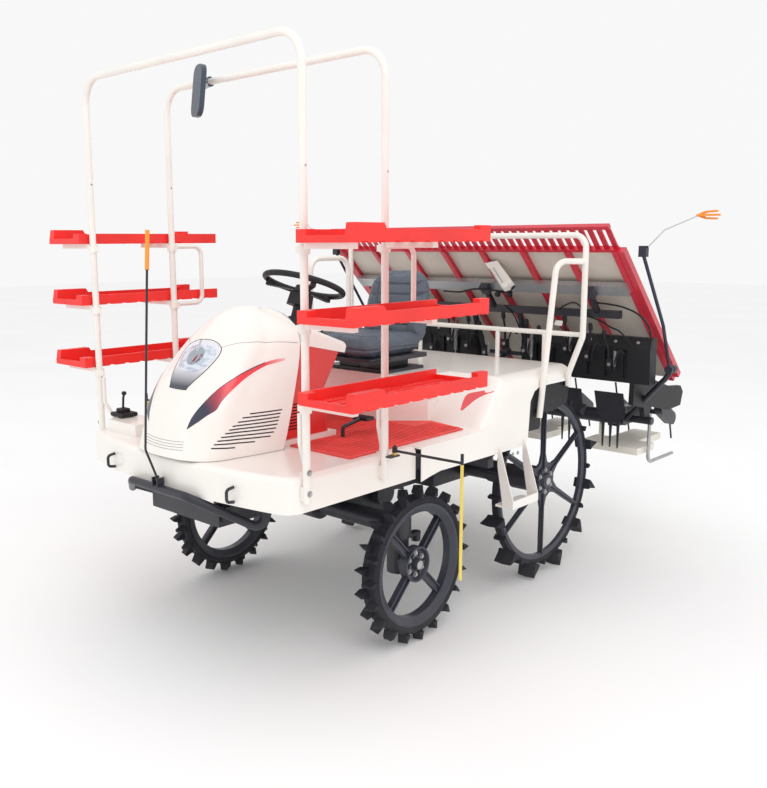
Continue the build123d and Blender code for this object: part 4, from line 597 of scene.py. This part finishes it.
SWOOSH = (((-449, 496, 889), (-478, 490, 928), (-498, 500, 954), (-511, 555, 971),
           (-530, 620, 980)),
          ((-446, 506, 886), (-469, 532, 916), (-482, 548, 934), (-496, 572, 951),
           (-518, 616, 972)))


def on_body(point):
    """The rear body's nearest surface point with its normal."""
    return BODY.find_nearest(point)[:2]


def markings():
    """The red swoosh on both sides of the rear body."""
    kit = Kit()
    band(kit, on_body, *SWOOSH, cols=24, rows=4)
    kit.mirrored().build("body_bands", RED_MARK, "chassis", "tray_red")


def hub_bolts():
    """Bright bolts and caps on the wheel hubs."""
    cap = [(0.019, -0.001), (0.019, 0.004), (0.015, 0.008), (0.006, 0.010), (0.0003, 0.0104)]
    for end, x, z, circle_radius in HUBS:
        for name, side in (("left", 1), ("right", -1)):
            body = f"{end}_wheel_{name}"
            tree = tree_of(f"{end}_rim_{name}")
            outward = (0, side, 0)
            inward = Vector((0, -side, 0))
            kit = Kit()
            for k in range(HUB_BOLTS):
                a = 2 * math.pi * (k + 0.5) / HUB_BOLTS
                start = P(x + circle_radius * math.cos(a), side * OUTSIDE_Y,
                          z + circle_radius * math.sin(a))
                hit = tree.ray_cast(start, inward)[0]
                if hit:
                    kit.bolt(hit, outward, 0.0075)
            middle = tree.ray_cast(P(x, side * OUTSIDE_Y, z), inward)[0]
            kit.lathe(cap, middle, outward, 24)
            kit.build(f"{end}_hub_bolts_{name}", STEEL, body, "steel")


def soft_form(name, stations, sides=36):
    """A closed form from superellipse sections: (centre, across, up, half width, half height)."""
    kit = Kit()
    rings = []
    for centre, across, up, half_w, half_h in stations:
        ring = []
        for k in range(sides):
            t = 2 * math.pi * k / sides
            c, s = math.cos(t), math.sin(t)
            ring.append(centre + across * (half_w * math.copysign(abs(c) ** 0.55, c))
                        + up * (half_h * math.copysign(abs(s) ** 0.7, s)))
        rings.append(ring)
    kit.rings(rings)
    return placed(name, mesh_of(name, [tuple(v) for v in kit.verts], kit.faces))


def apply_modifiers(obj):
    """Bakes an object's modifiers into its mesh."""
    graph = bpy.context.evaluated_depsgraph_get()
    graph.update()
    mesh = bpy.data.meshes.new_from_object(obj.evaluated_get(graph))
    obj.modifiers.clear()
    obj.data = mesh


def puff(obj):
    """Remesh, inflate as cloth under pressure, cap the movement, and subdivide once."""
    remesh = obj.modifiers.new("remesh", "REMESH")
    remesh.mode = "VOXEL"
    remesh.voxel_size = PUFF_VOXEL
    apply_modifiers(obj)
    rest = [v.co.copy() for v in obj.data.vertices]
    cloth = obj.modifiers.new("cloth", "CLOTH")
    cloth.settings.use_pressure = True
    cloth.settings.uniform_pressure_force = PUFF_PRESSURE
    cloth.settings.quality = 4
    cloth.settings.effector_weights.gravity = 0.0
    scene = bpy.context.scene
    for step in range(1, PUFF_FRAMES + 1):
        scene.frame_set(step)
    graph = bpy.context.evaluated_depsgraph_get()
    moved = [v.co.copy() for v in obj.evaluated_get(graph).data.vertices]
    obj.modifiers.clear()
    scene.frame_set(1)
    for v, start, end in zip(obj.data.vertices, rest, moved):
        shift = end - start
        v.co = start + shift * min(1.0, PUFF_CAP / max(shift.length, 1e-9))
    sub = obj.modifiers.new("sub", "SUBSURF")
    sub.levels = sub.render_levels = 1
    apply_modifiers(obj)


def near(value, middle, width):
    """A soft bell: 1 at the middle, falling off over the width."""
    return math.exp(-((value - middle) / width) ** 2)


def ramp01(value, low, high):
    """A smooth step from 0 at low to 1 at high."""
    t = min(1.0, max(0.0, (value - low) / (high - low)))
    return t * t * (3 - 2 * t)


LEAN = math.radians(11)
BACK_UP = Vector((-math.sin(LEAN), 0, math.cos(LEAN)))
BACK_OUT = Vector((math.cos(LEAN), 0, math.sin(LEAN)))


def back_dent(y, s, n):
    """Depth in mm of the backrest's channels: y across, s up, n out of its middle plane."""
    ay = abs(y)
    if n > 0:
        panel = 1 - ramp01(ay, 100, 116)
        depth = 8 * panel * max(near(s, level, 5.0) for level in BACK_CHANNELS)
        edge = 112 + 16 * ramp01(s, 250, 350) - 10 * ramp01(s, 40, 160)
        ends = ramp01(s, 20, 50) * (1 - ramp01(s, 300, 330))
        depth = max(depth, 9 * near(ay, edge, 5.0) * ends)
        for base, rise in BACK_SIDE_SEAMS:
            level = base + rise * ramp01(ay, 112, 190)
            depth = max(depth, 7.5 * near(s, level, 5.5) * ramp01(ay, 108, 122))
        return depth
    return 4 * near(n, -14, 4.0)


def cushion_dent(x, y, z):
    """Depth in mm of the seams on the cushion."""
    ay = abs(y)
    depth = 0.0
    if z > CUSHION_FACE_Z:
        panel = 1 - ramp01(ay, 112, 128)
        depth = 7 * panel * max(near(x, level, 5.0) for level in CUSHION_CHANNELS)
        edge = near(ay, 124 - 16 * ramp01(x, -300, -200), 5.0) * (1 - ramp01(x, -235, -215))
        depth = max(depth, 8 * edge)
        depth = max(depth, 7 * near(x, -225 - 30 * ramp01(ay, 110, 220), 5.0))
    return max(depth, 6 * near(z, CUSHION_PIPING_Z, 4.5))


def dent(obj, depth_at):
    """Pushes the surface in along its normals by the seams' depth."""
    mesh = obj.data
    normals = [v.normal.copy() for v in mesh.vertices]
    for v, normal in zip(mesh.vertices, normals):
        v.co -= normal * (depth_at(v.co) / 1000)


def seat():
    """Cushion and backrest, puffed as padded covers and then sewn."""
    across, up = Vector((0, 1, 0)), Vector((0, 0, 1))
    cushion = soft_form("seat_cushion", [
        (P(x, 0, CUSHION_Z + lift), across, up, width / 1000, height / 1000)
        for x, width, height, lift in CUSHION_STATIONS])
    foot = P(*BACK_FOOT)
    back = soft_form("seat_back", [
        (foot + BACK_UP * (s / 1000), across, BACK_OUT, width / 1000, thick / 1000)
        for s, width, thick in BACK_STATIONS])
    for piece in (cushion, back):
        puff(piece)

    def back_depth(co):
        d = co - foot
        return back_dent(co.y * 1000, d.dot(BACK_UP) * 1000, d.dot(BACK_OUT) * 1000)

    def cushion_depth(co):
        return cushion_dent((co.x - AXLE_X) * 1000, co.y * 1000, co.z * 1000)

    # The side pads stand higher than the middle
    for v in back.data.vertices:
        d = v.co - foot
        swell = ramp01(abs(v.co.y) * 1000, 100, 165) * (1 - ramp01(d.dot(BACK_UP) * 1000, 280, 350))
        if d.dot(BACK_OUT) > 0:
            v.co += BACK_OUT * 0.016 * swell
    for v in cushion.data.vertices:
        if v.co.z > 1.16:
            fade = 1 - ramp01((v.co.x - AXLE_X) * 1000, -260, -190)
            v.co.z += 0.012 * ramp01(abs(v.co.y) * 1000, 110, 170) * fade
    back.data.update()
    cushion.data.update()
    dent(back, back_depth)
    dent(cushion, cushion_depth)
    for piece, fill in ((cushion, 0.75), (back, 0.75)):
        piece.data.materials.clear()
        piece.data.materials.append(SEAT_GREY)
        piece.data.shade_smooth()
        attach(piece, "chassis")
        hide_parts("seat")
    kit = Kit()
    # Seat slides and the adjusting lever under the cushion
    for side in (1, -1):
        kit.brick(P(-520, side * 150 - 12, 1100), P(-240, side * 150 + 12, 1113), 0.002)
    kit.tube([P(-330, 196, 1104), P(-250, 214, 1100), P(-175, 214, 1096), P(-150, 206, 1098)],
             0.006, 12, 5)
    kit.lathe([(0.008, 0), (0.0095, 0.004), (0.0095, 0.05), (0.006, 0.055)], P(-156, 208, 1098),
              (1, 0, 0), 14)
    kit.build("seat_slides", PLASTIC, "chassis", "plastic_dark")


# The bonnet by level: height, nose, half width in front, half width behind, nose depth, rear end
HOOD = ((827, 810, 250, 276, 172, 418), (880, 794, 248, 276, 166, 398),
        (930, 779, 245, 275, 158, 383), (975, 766, 242, 273, 150, 368),
        (1020, 744, 239, 270, 148, 354), (1060, 721, 236, 267, 148, 341),
        (1100, 694, 232, 264, 146, 329), (1140, 658, 228, 260, 145, 316),
        (1180, 620, 222, 255, 142, 304), (1215, 588, 212, 247, 138, 293),
        (1245, 562, 198, 236, 132, 283), (1272, 536, 180, 216, 126, 274),
        (1293, 514, 160, 190, 118, 256), (1318, 492, 132, 152, 104, 258),
        (1340, 466, 104, 114, 84, 266), (1356, 436, 76, 80, 62, 286), (1367, 402, 46, 48, 36, 318),
        (1371, 378, 24, 24, 17, 340), (1373, 362, 1, 1, 0.8, 356))


def hood_levels(per=3):
    """The hood's levels with smooth ones between them."""
    out = []
    for i in range(len(HOOD) - 1):
        p1, p2 = HOOD[i], HOOD[i + 1]
        p0 = HOOD[i - 1] if i else p1
        p3 = HOOD[i + 2] if i + 2 < len(HOOD) else p2
        for k in range(per):
            t = k / per
            row = [between(*values, t) for values in zip(p0, p1, p2, p3)]
            # The rear end runs straight between levels
            row[-1] = p1[-1] + (p2[-1] - p1[-1]) * t
            out.append(row)
    out.append(list(HOOD[-1]))
    return out


def hood_grid():
    """Rows of points from the rear of one side round the nose to the rear of the other."""
    rows = []
    for z, nose, front, rear, deep, back in hood_levels():
        half = []
        for k in range(NOSE_STEPS + 1):
            angle = math.pi / 2 * k / NOSE_STEPS
            half.append((nose - deep * (1 - math.cos(angle) ** NOSE_POWER),
                         front * math.sin(angle) ** NOSE_POWER))
        bend = nose - deep
        for k in range(1, SIDE_STEPS + 1):
            t = k / SIDE_STEPS
            half.append((bend + (back - bend) * t, front + (rear - front) * t * (2 - t)))
        ring = [(x, -y) for x, y in reversed(half[1:])] + half
        rows.append([P(x, y, z) for x, y in ring])
    return rows


def with_normals(rows, inward=False):
    """Pairs each point of a grid with the surface's normal there."""
    grid = []
    for r, row in enumerate(rows):
        line = []
        for c, p in enumerate(row):
            across = row[min(c + 1, len(row) - 1)] - row[max(c - 1, 0)]
            up = rows[min(r + 1, len(rows) - 1)][c] - rows[max(r - 1, 0)][c]
            normal = across.cross(up)
            normal = normal.normalized() if normal.length > 1e-12 else Vector((0, 0, 1))
            line.append((p, -normal if inward else normal))
        grid.append(line)
    return grid


def tree_of_rows(rows):
    """A search tree of a grid's surface."""
    verts = [p for row in rows for p in row]
    cols = len(rows[0])
    faces = [(r * cols + c, r * cols + c + 1, (r + 1) * cols + c + 1, (r + 1) * cols + c)
             for r in range(len(rows) - 1) for c in range(cols - 1)]
    return BVHTree.FromPolygons(verts, faces)


HOOD_ROWS = hood_grid()
HOOD_TREE = tree_of_rows(HOOD_ROWS)

# The lamp's outlines on the nose, as (y, z)
HOUSING = ((-40, 1248), (40, 1248), (96, 1228), (110, 1200), (101, 1161), (85, 1128), (54, 1082),
           (46, 1074), (-46, 1074), (-54, 1082), (-85, 1128), (-101, 1161), (-110, 1200),
           (-96, 1228))
LENS = ((-50, 1226), (0, 1230), (50, 1226), (86, 1212), (95, 1192), (84, 1160), (52, 1140),
        (0, 1134), (-52, 1140), (-84, 1160), (-95, 1192), (-86, 1212))
# The side slits, front end and rear end
SLITS = (((565, 252, 986), (417, 271, 984)), ((598, 247, 974), (426, 272, 971)),
         ((618, 244, 960), (432, 272, 958)), ((644, 243, 948), (438, 273, 945)),
         ((660, 242, 936), (444, 273, 931)), ((678, 240, 925), (452, 273, 917)),
         ((695, 238, 913), (464, 273, 903)), ((711, 235, 901), (480, 272, 889)),
         ((725, 231, 889), (553, 265, 878)), ((736, 226, 876), (639, 251, 867)))
# The line where the bonnet's top panel meets its side
SEAM = ((577, 96, 1231), (560, 120, 1238), (526, 157, 1246), (501, 179, 1247), (457, 196, 1247),
        (397, 215, 1243), (335, 235, 1238), (300, 240, 1233))
STRIPE_UP = ((769, 123, 942), (754, 132, 974), (736, 144, 1004), (708, 163, 1040), (666, 187, 1083),
             (612, 210, 1119), (548, 223, 1147), (465, 231, 1170), (411, 243, 1180),
             (377, 250, 1179))
STRIPE_DOWN = ((768, 125, 940), (745, 163, 968), (719, 190, 994), (692, 209, 1013),
               (671, 213, 1039), (640, 220, 1069), (589, 227, 1105), (540, 229, 1130),
               (469, 235, 1157), (408, 247, 1168), (379, 251, 1173))


def hood_at(point):
    """The hood's nearest surface point with its outward normal."""
    place, normal = HOOD_TREE.find_nearest(point)[:2]
    outward = place - P(*HOOD_MIDDLE)
    return place, normal if normal.dot(outward) > 0 else -normal


def hood_front(y, z):
    """The hood's point straight behind (y, z) as seen from the front."""
    hit = HOOD_TREE.ray_cast(P(1200, y, z), Vector((-1, 0, 0)))[0]
    return hood_at(hit if hit else P(560, y, z))


def nose_outline(outline):
    """A smooth closed outline from (y, z) points, flat in front of the nose."""
    return smooth_line([(0, y / 1000, z / 1000) for y, z in outline], 4, True)


def patch(kit, outline, proud, sunk=0.002, dome=0.0, rings=7):
    """A smooth-edged patch on the hood's nose, domed by dome at its middle."""
    line = nose_outline(outline)
    middle = sum(line, Vector()) / len(line)
    grid = []
    for r in range(rings + 1):
        share = r / rings
        row = []
        for q in line + line[:1]:
            s = middle.lerp(q, share)
            place, normal = hood_front(s.y * 1000, s.z * 1000)
            row.append((place + normal * dome * (1 - share * share), normal))
        grid.append(row)
    kit.skin(grid, proud, sunk)


def hood_strip(kit, points, width, cols=24, proud=0.0004):
    """A narrow strip along points, laid on the hood."""
    line = traced(points, cols)
    kit.skin([[hood_at(p + Vector((0, 0, lift * width / 1000))) for p in line]
              for lift in (-0.5, 0, 0.5)], proud, 0.001)


def hood_tail():
    """Rows that close the dome behind, over the dash."""
    tail = []
    for row in HOOD_ROWS:
        z = row[0].z * 1000
        if z < TAIL_Z:
            continue
        left, right = row[-1], row[0]
        deep = 0.34 * (left.y - right.y) * min(1.0, 0.4 + (z - TAIL_Z) / 60)
        line = []
        for k in range(TAIL_STEPS + 1):
            t = k / TAIL_STEPS
            bulge = deep * (1 - (2 * t - 1) ** 2)
            line.append(right.lerp(left, t) - Vector((min(bulge, TAIL_MOST), 0, 0)))
        tail.append(line)
    return tail


def hood_shell():
    """The raked bonnet itself."""
    kit = Kit()
    grid = with_normals(HOOD_ROWS)
    place, normal = grid[5][20]
    if (place - P(*HOOD_MIDDLE)).dot(normal) < 0:
        grid = with_normals(HOOD_ROWS, True)
    kit.skin(grid, 0.0, SHELL)
    tail = hood_tail()
    pairs = with_normals(tail)
    if pairs[1][8][1].x > 0:
        pairs = with_normals(tail, True)
    kit.skin(pairs, 0.0, SHELL)
    shell = kit.build("bonnet_shell", WHITE, "bonnet", "body_white", 40)
    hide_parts("bonnet", "headlamps")


def hood_lamp():
    """The single lamp on the centre line: housing, lens and reflector."""
    kit = Kit()
    patch(kit, HOUSING, proud=0.0012)
    kit.build("lamp_housing", HOUSING_SHADE, "bonnet", "plastic_dark", 50)
    kit = Kit()
    patch(kit, LENS, proud=0.003, dome=0.006)
    kit.build("lamp_lens", LAMP, "bonnet", "lamp_clear", 50)
    kit = Kit()
    place, normal = hood_front(0, 1186)
    for r, depth in ((0.043, 0.0), (0.034, 0.0006)):
        kit.lathe([(r, 0.006 + depth), (r, 0.0095 + depth), (r * 0.95, 0.0105 + depth),
                   (r * 0.9, 0.0094 + depth), (0.0002, 0.0092 + depth)], place, normal, 36)
    kit.build("lamp_reflectors", GLASS, "bonnet", "steel")


def hood_trim():
    """The bonnet's slits, lamp rim, stripes and seam lines."""
    kit = Kit()
    rim = []
    for q in nose_outline(HOUSING):
        place, normal = hood_front(q.y * 1000, q.z * 1000)
        rim.append(place + normal * 0.0008)
    kit.tube(rim, 0.0014, 8, closed=True)
    for side in (1, -1):
        for slit in SLITS:
            a, b = flipped(slit, side)
            mid = ((a[0] + b[0]) / 2, (a[1] + b[1]) / 2 + side * SLIT_BOW, (a[2] + b[2]) / 2)
            hood_strip(kit, (a, mid, b), 5.0, proud=0.0003)
    kit.build("bonnet_slits", PLASTIC, "bonnet", "plastic_dark", 50)
    kit = Kit()
    for side in (1, -1):
        band(kit, hood_at, flipped(STRIPE_UP, side), flipped(STRIPE_DOWN, side), 60, 8, 0.0007,
             0.001)
    kit.build("bonnet_stripes", STRIPE, "bonnet", "tray_red")
    kit = Kit()
    for side in (1, -1):
        hood_strip(kit, flipped(STRIPE_UP[1:8], side), 4.0, 50, 0.0009)
    kit.build("stripe_edges", SLATE, "bonnet", "mirror_slate")
    kit = Kit()
    for side in (1, -1):
        hood_strip(kit, flipped(SEAM, side), 2.4, 60)
    for z in NOSE_LINES:
        line = [(820 - 0.0019 * y * y, y, z) for y in (-124, -80, -40, 0, 40, 80, 124)]
        hood_strip(kit, line, 1.8, 40)
    kit.build("bonnet_lines", LINE_GREY, "bonnet", "plastic_dark")


def hood():
    """The raked bonnet with its single lamp on the centre line."""
    hood_shell()
    hood_lamp()
    hood_trim()


def moored(point, trees):
    """The nearest point of the machine's own surfaces."""
    found = [tree.find_nearest(point) for tree in trees]
    return min(found, key=lambda hit: hit[3])[0]


def cable(name, points, diameter, body, trees):
    """A black control cable whose ends go into the machine."""
    data = bpy.data.curves.new(name, "CURVE")
    data.dimensions = "3D"
    data.bevel_depth = diameter / 2
    data.bevel_resolution = 3
    data.resolution_u = 12
    spline = data.splines.new("NURBS")
    spline.points.add(len(points) - 1)
    line = [P(*p) for p in points]
    line[0], line[-1] = moored(line[0], trees), moored(line[-1], trees)
    for slot_point, p in zip(spline.points, line):
        slot_point.co = (*p, 1)
    spline.order_u = 3
    spline.use_endpoint_u = True
    data.materials.append(PLASTIC)
    made = placed(name, data)
    bpy.context.view_layer.update()
    # The bare curve, without its thickness, is made into a mesh that is removed again at once
    graph = bpy.context.evaluated_depsgraph_get()
    data.bevel_depth = 0
    data.update_tag()
    graph.update()
    flat = bpy.data.meshes.new_from_object(made.evaluated_get(graph))
    bpy.data.meshes.remove(flat)
    data.bevel_depth = diameter / 2
    data.update_tag()
    graph.update()
    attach(made, body)


def rail_cable():
    """Black cable clipped along the aluminium rail, with its knobs."""
    kit = Kit()
    kit.tube([P(-1326, y, z) for y, z in ((-266, 1350), (-156, 1348), (-49, 1368), (106, 1362),
                                          (168, 1366), (198, 1391))], 0.005, 10, 6)
    for y in (98, 172):
        kit.lathe([(0.012, 0), (0.014, 0.006), (0.014, 0.02), (0.009, 0.026), (0.0004, 0.027)],
                  P(-1330, y, 1342), (1, 0, 0.2), 16)
    kit.brick(P(-1334, 90, 1352), P(-1322, 182, 1364), 0.002)
    kit.build("rail_cable", PLASTIC, "seedling_platform", "plastic_dark")


def plate(kit, x, corners, depth, chamfer):
    """A plate across the machine at x from (y, z) corners."""
    kit.slab([P(x, y, z) for y, z in corners], depth, chamfer)


def feed_box():
    """The white box on the rail with its two lines, and the white plate below."""
    kit = Kit()
    plate(kit, -1290, ((47, 1494), (128, 1506), (224, 1399), (164, 1360)), (0.028, 0, 0.02), 0.004)
    plate(kit, -1284, ((168, 1392), (198, 1402), (206, 1372), (172, 1362)), (0.03, 0, 0.02), 0.003)
    kit.build("feed_box", PANEL_WHITE, "seedling_platform", "body_white")
    kit = Kit()
    for y0, z0, y1, z1 in ((84, 1482, 150, 1400), (108, 1488, 172, 1408)):
        kit.tube([P(-1256, y0, z0), P(-1256, y1, z1)], 0.0018, 8)
    kit.build("feed_box_lines", LINE_GREY, "seedling_platform", "plastic_dark")
    kit = Kit()
    plate(kit, -1400, ((396, 1192), (443, 1189), (448, 1216), (407, 1218)), (0.003, 0, 0), 0.0006)
    kit.build("white_plate", PANEL_WHITE, "planting_unit", "body_white")


def coil(x, y, z, radius, rise, per_turn, turns):
    """Points of an upright spring: rise is its height in millimetres for each radian."""
    angles = [k * 2 * math.pi / per_turn for k in range(per_turn * turns)]
    return [P(x + radius * math.cos(t), y + radius * math.sin(t), z + rise * t) for t in angles]


def planter_bolts():
    """Bright bolts on the covers and tension springs beside the masts."""
    kit = Kit()
    tree = tree_of("planter_covers")
    for y in (-820, -700, -560, -420, -280, -140, 140, 280, 420, 560, 700, 820):
        for z in (1120, 760):
            hit = tree.ray_cast(P(-900, y, z), Vector((-1, 0, 0)))[0]
            if hit and (hit.x - AXLE_X) * 1000 > -2100:
                kit.bolt(hit, (1, 0, 0), 0.006)
    for y in (250, -250):
        kit.tube(coil(-1425, y, 1010, 9, 1.05, 12, 22), 0.0018, 6)
        for low, high in ((985, 1012), (1154, 1190)):
            kit.tube([P(-1425, y, low), P(-1425, y, high)], 0.002, 8)
    kit.build("planter_bolts", STEEL, "planting_unit", "steel")


def planter_details():
    """Cables, boxes, bolts and springs seen under the seedling platform."""
    trees = [tree_of("planter_frame"), tree_of("planter_covers")]
    for name, diameter, points in CABLES:
        cable(name, points, diameter, "planting_unit", trees)
    rail_cable()
    feed_box()
    planter_bolts()


def mirror_face():
    """Glass on the driver's side of the mirror."""
    tree = tree_of("mirror_unit")
    low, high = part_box("mirror_unit")
    kit = Kit()
    grid = []
    z0, z1 = high[2] - 0.195, high[2] - 0.02
    for r in range(9):
        z = z0 + (z1 - z0) * r / 8
        row = []
        for c in range(6):
            y = -0.392 + 0.09 * c / 5
            hit, normal = tree.ray_cast(Vector((low[0] - 0.2, y, z)), Vector((1, 0, 0)))[:2]
            if hit is None:
                hit, normal = tree.find_nearest(Vector((low[0], y, z)))[:2]
            row.append((hit, normal if normal.x < 0 else -normal))
        grid.append(row)
    kit.skin(grid, 0.0008, 0.001)
    kit.build("mirror_glass", GLASS, "chassis", "steel")


def clips():
    """Bolts on the hoop feet and boarding steps, and the black catch on the far side."""
    kit = Kit()
    for side in (1, -1):
        for z in (770, 845):
            kit.bolt(P(655, side * 663.5, z), (0, side, 0), 0.0075)
        for x in (-600, -560):
            kit.bolt(P(x, side * 700, 700), (0, side, 0), 0.006)
    kit.build("foot_bolts", STEEL, "chassis", "steel")
    kit = Kit()
    kit.brick(P(560, -600, 878), P(640, -510, 896), 0.004)
    kit.brick(P(578, -585, 894), P(620, -540, 912), 0.004)
    kit.tube([P(600, -562, 908), P(600, -556, 960), P(598, -552, 975)], 0.005, 10)
    kit.lathe([(0.009, 0), (0.011, 0.006), (0.009, 0.014), (0.0004, 0.016)], P(598, -552, 972),
              (0, 0, 1), 14)
    kit.build("deck_catch", PLASTIC, "chassis", "plastic_dark")


def marker_forks():
    """The orange fork's prongs, one above the other, at the tip of each line marker."""
    prong = ((1212, 2), (1236, 5), (1246, 9), (1292, 12), (1296, 17), (1290, 20), (1244, 18),
             (1226, 12), (1212, 6))
    for name, side in (("left", 1), ("right", -1)):
        kit = Kit()
        for lift in (1, -1):
            kit.rings([[P(x, side * y, FORK_Z + lift * z) for y, z in prong]
                       for x in (-1166, -1174)])
        kit.build(f"marker_fork_{name}", ORANGE, f"line_marker_{name}", "marker_yellow", 50)


def row_levers():
    """Levers, springs and hoses over each planting row."""
    kit, bright = Kit(), Kit()
    knob = [(0.009, 0), (0.0115, 0.008), (0.0115, 0.03), (0.007, 0.038), (0.0004, 0.04)]
    for n, y in enumerate(LEVER_Y):
        # Each lever leans and starts a little differently
        lean = 14 * math.sin(2.1 * n)
        foot = 1112 - 30 * (n % 3)
        kit.tube([P(-1452, y, foot - 60), P(-1450, y + lean, foot + 40),
                  P(-1430, y + 2 * lean, foot + 96)], 0.006, 10)
        kit.lathe(knob, P(-1432, y + 2 * lean, foot + 92), (0.2, 0, 1), 14)
        kit.brick(P(-1462, y - 16, foot - 70), P(-1440, y + 16, foot - 20), 0.003)
        bright.bolt(P(-1440, y, foot - 45), (1, 0, 0), 0.006)
        if n % 2:
            bright.tube(coil(-1436, y + 34, foot - 50, 7, 0.75, 10, 16), 0.0014, 6)
        # The middle stays free for the top link
        if y != TOP_LINK_LEVER:
            kit.tube([P(-1446, y + 30, foot - 70), P(-1420, y + 44, foot - 20),
                      P(-1424, y + 62, foot + 30), P(-1452, y + 78, foot + 12)], 0.0045, 8, 6)
    kit.build("row_levers", PLASTIC, "planting_unit", "plastic_dark")
    bright.build("row_springs", STEEL, "planting_unit", "steel")


camera()
studio()
markings()
hood()
hub_bolts()
seat()
planter_details()
mirror_face()
clips()
marker_forks()
row_levers()
